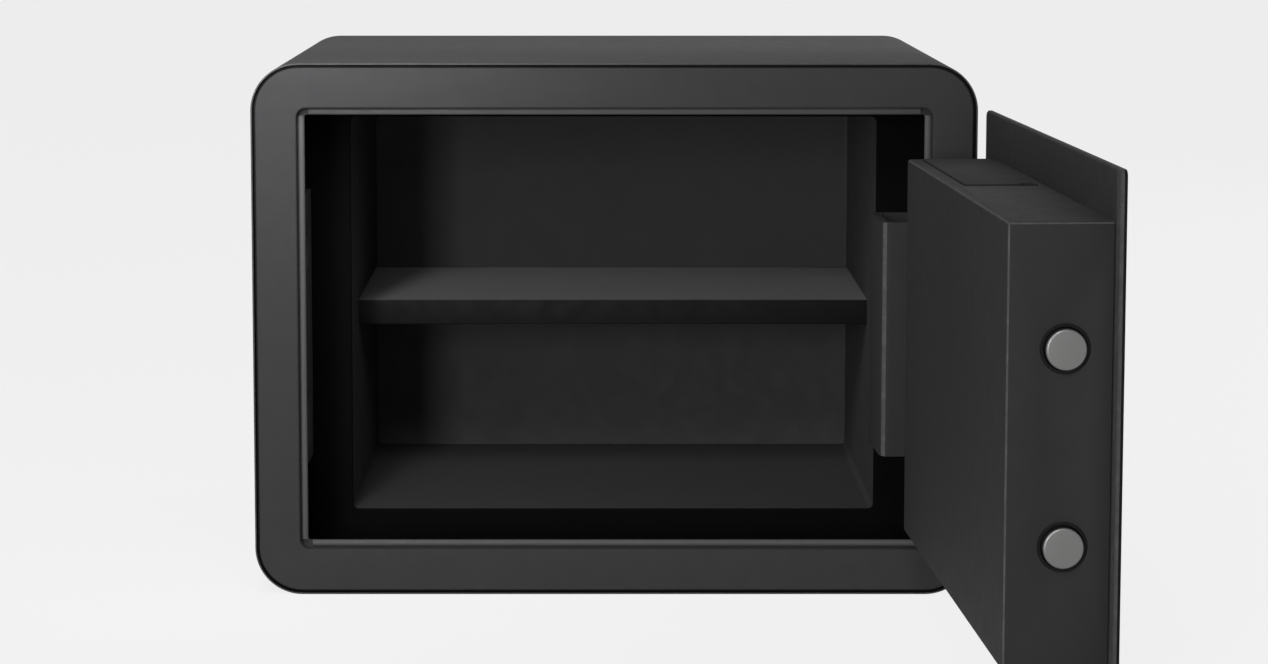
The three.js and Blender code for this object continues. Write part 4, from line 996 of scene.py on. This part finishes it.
class SafeHingeAndStrike(bpy.types.Operator):
    """Round the strike plate and the pieces of the hinge"""
    bl_idname = "safe.hinge_and_strike"
    bl_label = "Hinge and Strike"

    def execute(self, context):
        eased("strike_plate", "strike", "cabinet", "body_paint")
        for side in ("upper", "lower"):
            eased("hinge_bracket_" + side, "bracket_" + side, "cabinet", "body_paint")
            eased("hinge_bush_" + side, "bush_" + side, "door", "lock_brass", 0.12, 1)
        eased("hinge_pin", "pin", "cabinet", "zinc_steel", 0.3)
        eased("hinge_pin_clip", "pin_clip", "cabinet", "zinc_steel", 0.15, 1)
        return {"FINISHED"}


class SafeDoorPlate(bpy.types.Operator):
    """Round the door plate, paint a highlight on the strip that shows beside the door box, and paint shade on the
    front of its free edge
    """
    bl_idname = "safe.door_plate"
    bl_label = "Door Plate"

    def execute(self, context):
        mesh = eased_mesh("door_skin", mm(door().plate_round), 3, 30)
        low = span("door_skin")[0]
        strip, lit_from, wear_and_highlight = low.x + 8, low.y + 1.3, 0.67
        self.split(mesh, (strip, 0, 0), ACROSS)
        self.split(mesh, (0, lit_from, 0), DEEP)
        plate = piece("door_plate", mesh, "door", "door_skin", "door_shaded_paint", wear_and_highlight_marks=False).data
        # The strip beside the door box gets a painted highlight, and the front of the free edge painted shade.
        rubbed_and_lit = local(lambda centre, normal: wear_and_highlight * (centre.x < strip and centre.y > lit_from), DOOR_PLACE)
        gets_painted_shade = local(lambda centre, normal: normal.x < -0.3 and centre.y < lit_from, DOOR_PLACE)
        mark_faces(plate, "wear_and_highlight_edge", rubbed_and_lit)
        mark_faces(plate, "painted_shade_rim", gets_painted_shade)
        return {"FINISHED"}

    def split(self, mesh, point, across):
        """Cut the plate's faces along a plane of the closed door, so that each side can have its own painted
        highlight and shade.
        """
        work = opened(mesh)
        bmesh.ops.bisect_plane(
            work, geom=work.verts[:] + work.edges[:] + work.faces[:], plane_co=DOOR_PLACE @ Vector(point),
            plane_no=(DOOR_PLACE.to_3x3() @ Vector(across)).normalized(),
        )
        closed(work, mesh)


class SafeDoorBox(bpy.types.Operator):
    """Round the folds of the door box"""
    bl_idname = "safe.door_box"
    bl_label = "Door Box"

    def execute(self, context):
        mesh = tidy(self.folded(mm(door().fold_round), 4), 0.3, 2, 40)
        pan = piece("door_pan", mesh, "door", "door_box", "door_shaded_paint", wear_and_highlight_marks=False)
        low, high = span("battery_lid")[:2]
        # Painted shade round the lid's gap; painted highlight on the folds and, more faintly, on the top.
        gap, top_painted_highlight = 2.5, 0.17

        def lid_gap_shade(centre, normal):
            inside = low.x - gap < centre.x < high.x + gap and low.z - gap < centre.z < high.z + gap
            return inside and max(abs(part) for part in normal) < 0.99

        mark_folds(pan.data, lid_gap_shade, top_painted_highlight)
        return {"FINISHED"}

    def folded(self, radius, steps):
        """The frame's door box with a round fold where its sides meet its back."""
        mesh = frame["nodes"]["door_box"].data.copy()
        mesh.materials.clear()
        low, high = span("door_box")[:2]
        back = DOOR_PLACE.inverted()
        work = opened(mesh)
        merge(work)
        flatten(work)
        corner, level, sharp = 2.2, 0.05, 1
        outline = set()
        for vertex in work.verts:
            place = back @ vertex.co
            side = min(place.x - low.x, high.x - place.x, place.z - low.z, high.z - place.z)
            if place.y > high.y - level and side < corner:
                outline.add(vertex)
        fold = [edge for edge in work.edges if edge.calc_face_angle(0) > sharp and outline.issuperset(edge.verts)]
        bevel(work, fold, radius, steps, clamped=False)
        return closed(work, mesh)


class SafeHingeArm(bpy.types.Operator):
    """Round the hinge arm and drive in its screws"""
    bl_idname = "safe.hinge_arm"
    bl_label = "Hinge Arm"

    def execute(self, context):
        arm = eased("hinge_arm", "swan_arm", "door", "door_shaded_paint", mm(door().arm_round), 3, 40, False)
        # Painted highlight on the arm's outer corners; the arm gets no painted shade.
        mark_folds(arm.data, lambda centre, normal: False)
        head_rise = 2
        for side in ("upper", "lower"):
            node = "arm_screw_" + side
            low, high, (_, y, z), half = span(node)
            place = axes_place(DOOR_PLACE, (high.x - head_rise, y, z), DEEP, UP)
            head = repeated(head_mesh(half[2], head_rise), [place], "zinc_steel")
            end = high.x - 1.5
            shank = [(0, low.x), (1.6, low.x), (2, low.x + 0.5), (2, end), (0, end)]
            mesh = joined_mesh(head, turned_mesh(softened(shank, 0.2, 2), (0, y, z), True, DOOR_PLACE, 24))
            piece("screw_" + side, mesh, "door", node, "zinc_steel")
        return {"FINISHED"}


class SafeBolts(bpy.types.Operator):
    """Turn the two bolts and their bushes, and round the carriage"""
    bl_idname = "safe.bolts"
    bl_label = "Bolts"

    def execute(self, context):
        for side in ("upper", "lower"):
            low, high, (_, y, z), (_, _, radius) = span("bolt_" + side)
            nose = [(radius - across, low.x + depth) for across, depth in quarter(mm(door().bolt_chamfer), 6)]
            groove = [(radius, low.x + 3.9), (radius - 0.25, low.x + 4.2), (radius, low.x + 4.5)]
            tail = [(radius, high.x - 0.4), (radius - 0.4, high.x), (0, high.x)]
            mesh = turned_mesh([(0, low.x)] + nose + groove + tail, (0, y, z), True, DOOR_PLACE, 72)
            piece("round_bolt_" + side, mesh, "bolts", "bolt_" + side, "bright_steel", wear_and_highlight_marks=False)
            self.guide(side, radius + 0.4, y, z)
        eased("bolt_carriage", "carriage", "bolts", "zinc_steel", 0.3)
        return {"FINISHED"}

    def guide(self, side, hole, y, z):
        """The bush with the lip that it shows round the bolt; the lip's near-black plastic also stands in for the
        shadow in the gap round the bolt, as painted shade.
        """
        node = "bolt_bush_" + side
        wall = span("door_box")[0].x
        rise, rim = mm(door().guide_lip_rise), hole + mm(door().guide_lip)
        lip = [(hole, wall), (hole, wall - rise * 0.6), (hole + 0.15, wall - rise), (rim - 0.3, wall - rise),
               (rim, wall - rise * 0.4), (rim, wall)]
        ring = turned_mesh(lip, (0, y, z), True, DOOR_PLACE, 72, looped=True)
        mesh = joined_mesh(eased_mesh(node, 0.2, 1), ring)
        piece("bolt_guide_" + side, mesh, "door", node, "guide_plastic_and_shade", wear_and_highlight_marks=False)


class SafeLockWork(bpy.types.Operator):
    """Round the lock plate, the solenoid, the crank and the board"""
    bl_idname = "safe.lock_work"
    bl_label = "Lock Work"

    def execute(self, context):
        eased("lock_plate", "work_plate", "door", "zinc_steel", 0.3)
        eased("solenoid_body", "coil_case", "door", "black_plastic", 0.5)
        eased("solenoid_plunger", "coil_pin", "plunger", "zinc_steel", 0.3)
        eased("knob_shaft", "spindle", "knob", "zinc_steel", 0.3)
        eased("knob_crank", "crank", "knob", "zinc_steel", 0.3)
        eased("circuit_board", "board_plate", "door", "board", 0.15, 1)
        eased("buzzer", "buzzer_can", "door", "black_plastic")
        return {"FINISHED"}


class SafeKnob(bpy.types.Operator):
    """Turn the knob and its collar, raise its grip bar, and set its ribs and its pointer mark"""
    bl_idname = "safe.knob"
    bl_label = "Knob"

    def execute(self, context):
        eased("knob_collar", "collar", "door", "zinc_steel", 0.5, 3)
        low, high, (x, _, z), (skirt, _, _) = span("knob")
        cap, back, face = skirt - 2, high.y, low.y
        skirt_top, cap_face = back - 3, face + 2.5
        profile = [(0, back), (skirt, back), (skirt, skirt_top), (cap, skirt_top), (cap - 0.5, cap_face + 0.2),
                   (cap - 3, cap_face), (0, cap_face)]
        disc = turned_mesh(softened(profile, 1.1, 5), (x, 0, z), False, DOOR_PLACE, 96)
        half, bar_reach = 4.5, cap - 1.5
        bar = (x - half, x + half, z - bar_reach, z + bar_reach)
        rows = ((cap_face + 0.4, 0.0), (face + 0.8, 0.0), (face + 0.25, -0.25), (face, -0.8))
        rings = [at_depth(rounded(bar, -grow, half + grow - 0.3, 8), depth) for depth, grow in rows]
        mesh = joined_mesh(disc, lofted(rings, DOOR_PLACE))
        piece("turn_knob", mesh, "knob", "knob", "black_plastic")
        self.ribs(x, z, cap, skirt_top, cap_face + 0.6)
        half = 0.6
        pointer = rounded((x - half, x + half, z + 6, z + bar_reach - 1.2), 0, half, 5)
        mesh = lofted([at_depth(pointer, face + depth) for depth in (0.2, 0.001)], DOOR_PLACE)
        piece("knob_mark", mesh, "knob", None, "mark_ink")
        return {"FINISHED"}

    def ribs(self, x, z, radius, back, front):
        width, sunk = mm(lock().rib_width), 0.5
        rings = []
        for share, swell in ((-1, 0.5), (-0.96, 0.85), (-0.9, 1), (0.9, 1), (0.96, 0.85), (1, 0.5)):
            rise, along = 0.65 * swell, share * (back - front) / 2
            side, flank = (width / 2, -sunk), (width * 0.36, rise * 0.75)
            section = [(-side[0], side[1]), (-flank[0], flank[1]), (0, rise), flank, side]
            rings.append([(across, up, along) for across, up in section])
        places = []
        for turn in [2 * math.pi * (step + 0.5) / lock().knob_ribs for step in range(lock().knob_ribs)]:
            out = Vector((math.cos(turn), 0, math.sin(turn)))
            point = Vector((x, (back + front) / 2, z)) + out * (radius - 0.45)
            places.append(axes_place(DOOR_PLACE, point, Vector(DEEP).cross(out) * -1, out))
        mesh = repeated(lofted(rings, ORIGIN), places, "black_plastic")
        piece("knob_ribs", mesh, "knob", None, "black_plastic")


class SafeKeyLock(bpy.types.Operator):
    """Round the key lock, its plug and its cover"""
    bl_idname = "safe.key_lock"
    bl_label = "Key Lock"

    def execute(self, context):
        eased("key_cylinder", "lock_barrel", "door", "lock_brass", 0.3)
        eased("key_plug", "lock_plug", "key_plug", "lock_brass", 0.25)
        eased("key_cover", "lock_cover", "key_cover", "black_plastic", 0.6, 3)
        return {"FINISHED"}


class SafeKeypad(bpy.types.Operator):
    """Round the keypad's housing and window, and make its keys and their marks"""
    bl_idname = "safe.keypad"
    bl_label = "Keypad"

    def execute(self, context):
        eased("keypad_bezel", "pad_housing", "door", "black_plastic", 0.35)
        eased("status_window", "pad_window", "door", "window_tint", 0.25)
        for text in "123456789*0#":
            self.key("key_" + {"*": "clear", "#": "enter"}.get(text, text), text)
        return {"FINISHED"}

    def key(self, node, text):
        low, high, (x, _, z), (half_x, _, half_z) = span(node)
        corner, dish = mm(lock().key_corner), mm(lock().key_dish)
        box, steps, least, flat = (-half_x, half_x, -half_z, half_z), 6, 0.4, 1.6
        depth = high.y - low.y
        rows = [(0, depth), (0, 1.2), (0.15, 0.6), (0.5, 0.18), (1.0, 0), (flat, 0.02)]
        rings = [at_depth(rounded(box, inset, max(corner - inset * 0.6, least), steps), rise) for inset, rise in rows]
        outline = rounded(box, flat, max(corner - 1, least), steps)
        for share in (0.75, 0.5, 0.25):
            rings.append([(a * share, dish * (1 - share ** 2), b * share) for a, b in outline])
        place = axes_place(DOOR_PLACE, (x, low.y, z), ACROSS, DEEP)
        mesh = repeated(lofted(rings, ORIGIN), [place], "key_plastic")
        piece("push_" + node, mesh, node, node, "key_plastic", angle=50)
        self.mark(node, text, (x, low.y + dish - 0.02, z))

    def mark(self, node, text, point):
        curve = bpy.data.curves.new("mark", "FONT")
        curve.body = text
        star_growth = 1.5
        curve.size = lock().mark_height * (star_growth if text == "*" else 1)
        curve.align_x = "CENTER"
        curve.align_y = "CENTER"
        curve.extrude = 0.06 * MM
        mesh = plain_mesh(linked("mark", curve))
        low, high = corners_of([vertex.co for vertex in mesh.vertices])
        mesh.transform(Matrix.Translation((-(low.x + high.x) / 2, -(low.y + high.y) / 2, 0)))
        mesh.transform(axes_place(DOOR_PLACE, point, ACROSS, UP))
        piece("mark_" + node, mesh, node, None, "mark_ink")


class SafeBatteries(bpy.types.Operator):
    """Round the battery lid, the tray and the cells"""
    bl_idname = "safe.batteries"
    bl_label = "Batteries"

    def execute(self, context):
        eased("battery_lid", "cell_lid", "battery_lid", "lid_paint", 0.35)
        eased("battery_tray", "cell_tray", "door", "black_plastic", 0.25, 1)
        for cell in ("front_left", "front_right", "rear_left", "rear_right"):
            eased("battery_cell_" + cell, "cell_" + cell, "door", "cell_jacket", 0.5)
        return {"FINISHED"}


STEPS = (
    SafeStage, SafeWrap, SafeFrontFrame, SafeLiner, SafeRearPanel, SafeShelf, SafeFloorFelt, SafeHingeAndStrike,
    SafeDoorPlate, SafeDoorBox, SafeHingeArm, SafeBolts, SafeLockWork, SafeKnob, SafeKeyLock, SafeKeypad,
    SafeBatteries,
)
GROUPS = {
    "safe_cabinet": SafeCabinetSettings,
    "safe_door": SafeDoorSettings,
    "safe_lock": SafeLockSettings,
    "safe_stage": SafeStageSettings,
}


class SafePanel(bpy.types.Panel):
    """Sizes, colours and steps of the safe"""
    bl_idname = "VIEW3D_PT_safe"
    bl_label = "Steel Safe"
    bl_space_type = "VIEW_3D"
    bl_region_type = "UI"
    bl_category = "Safe"

    def draw(self, context):
        for group in GROUPS:
            box = self.layout.box()
            settings = getattr(context.scene, group)
            for name in settings.__annotations__:
                box.prop(settings, name)
        for step in STEPS:
            self.layout.operator(step.bl_idname)


def register():
    for group, kind in GROUPS.items():
        bpy.utils.register_class(kind)
        setattr(bpy.types.Scene, group, PointerProperty(type=kind))
    for step in STEPS:
        bpy.utils.register_class(step)
    bpy.utils.register_class(SafePanel)


def unregister():
    bpy.utils.unregister_class(SafePanel)
    for step in reversed(STEPS):
        bpy.utils.unregister_class(step)
    for group, kind in GROUPS.items():
        delattr(bpy.types.Scene, group)
        bpy.utils.unregister_class(kind)


def main():
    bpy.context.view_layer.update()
    register()
    for step in STEPS:
        family, name = step.bl_idname.split(".")
        getattr(getattr(bpy.ops, family), name)()


if __name__ == "__main__":
    main()
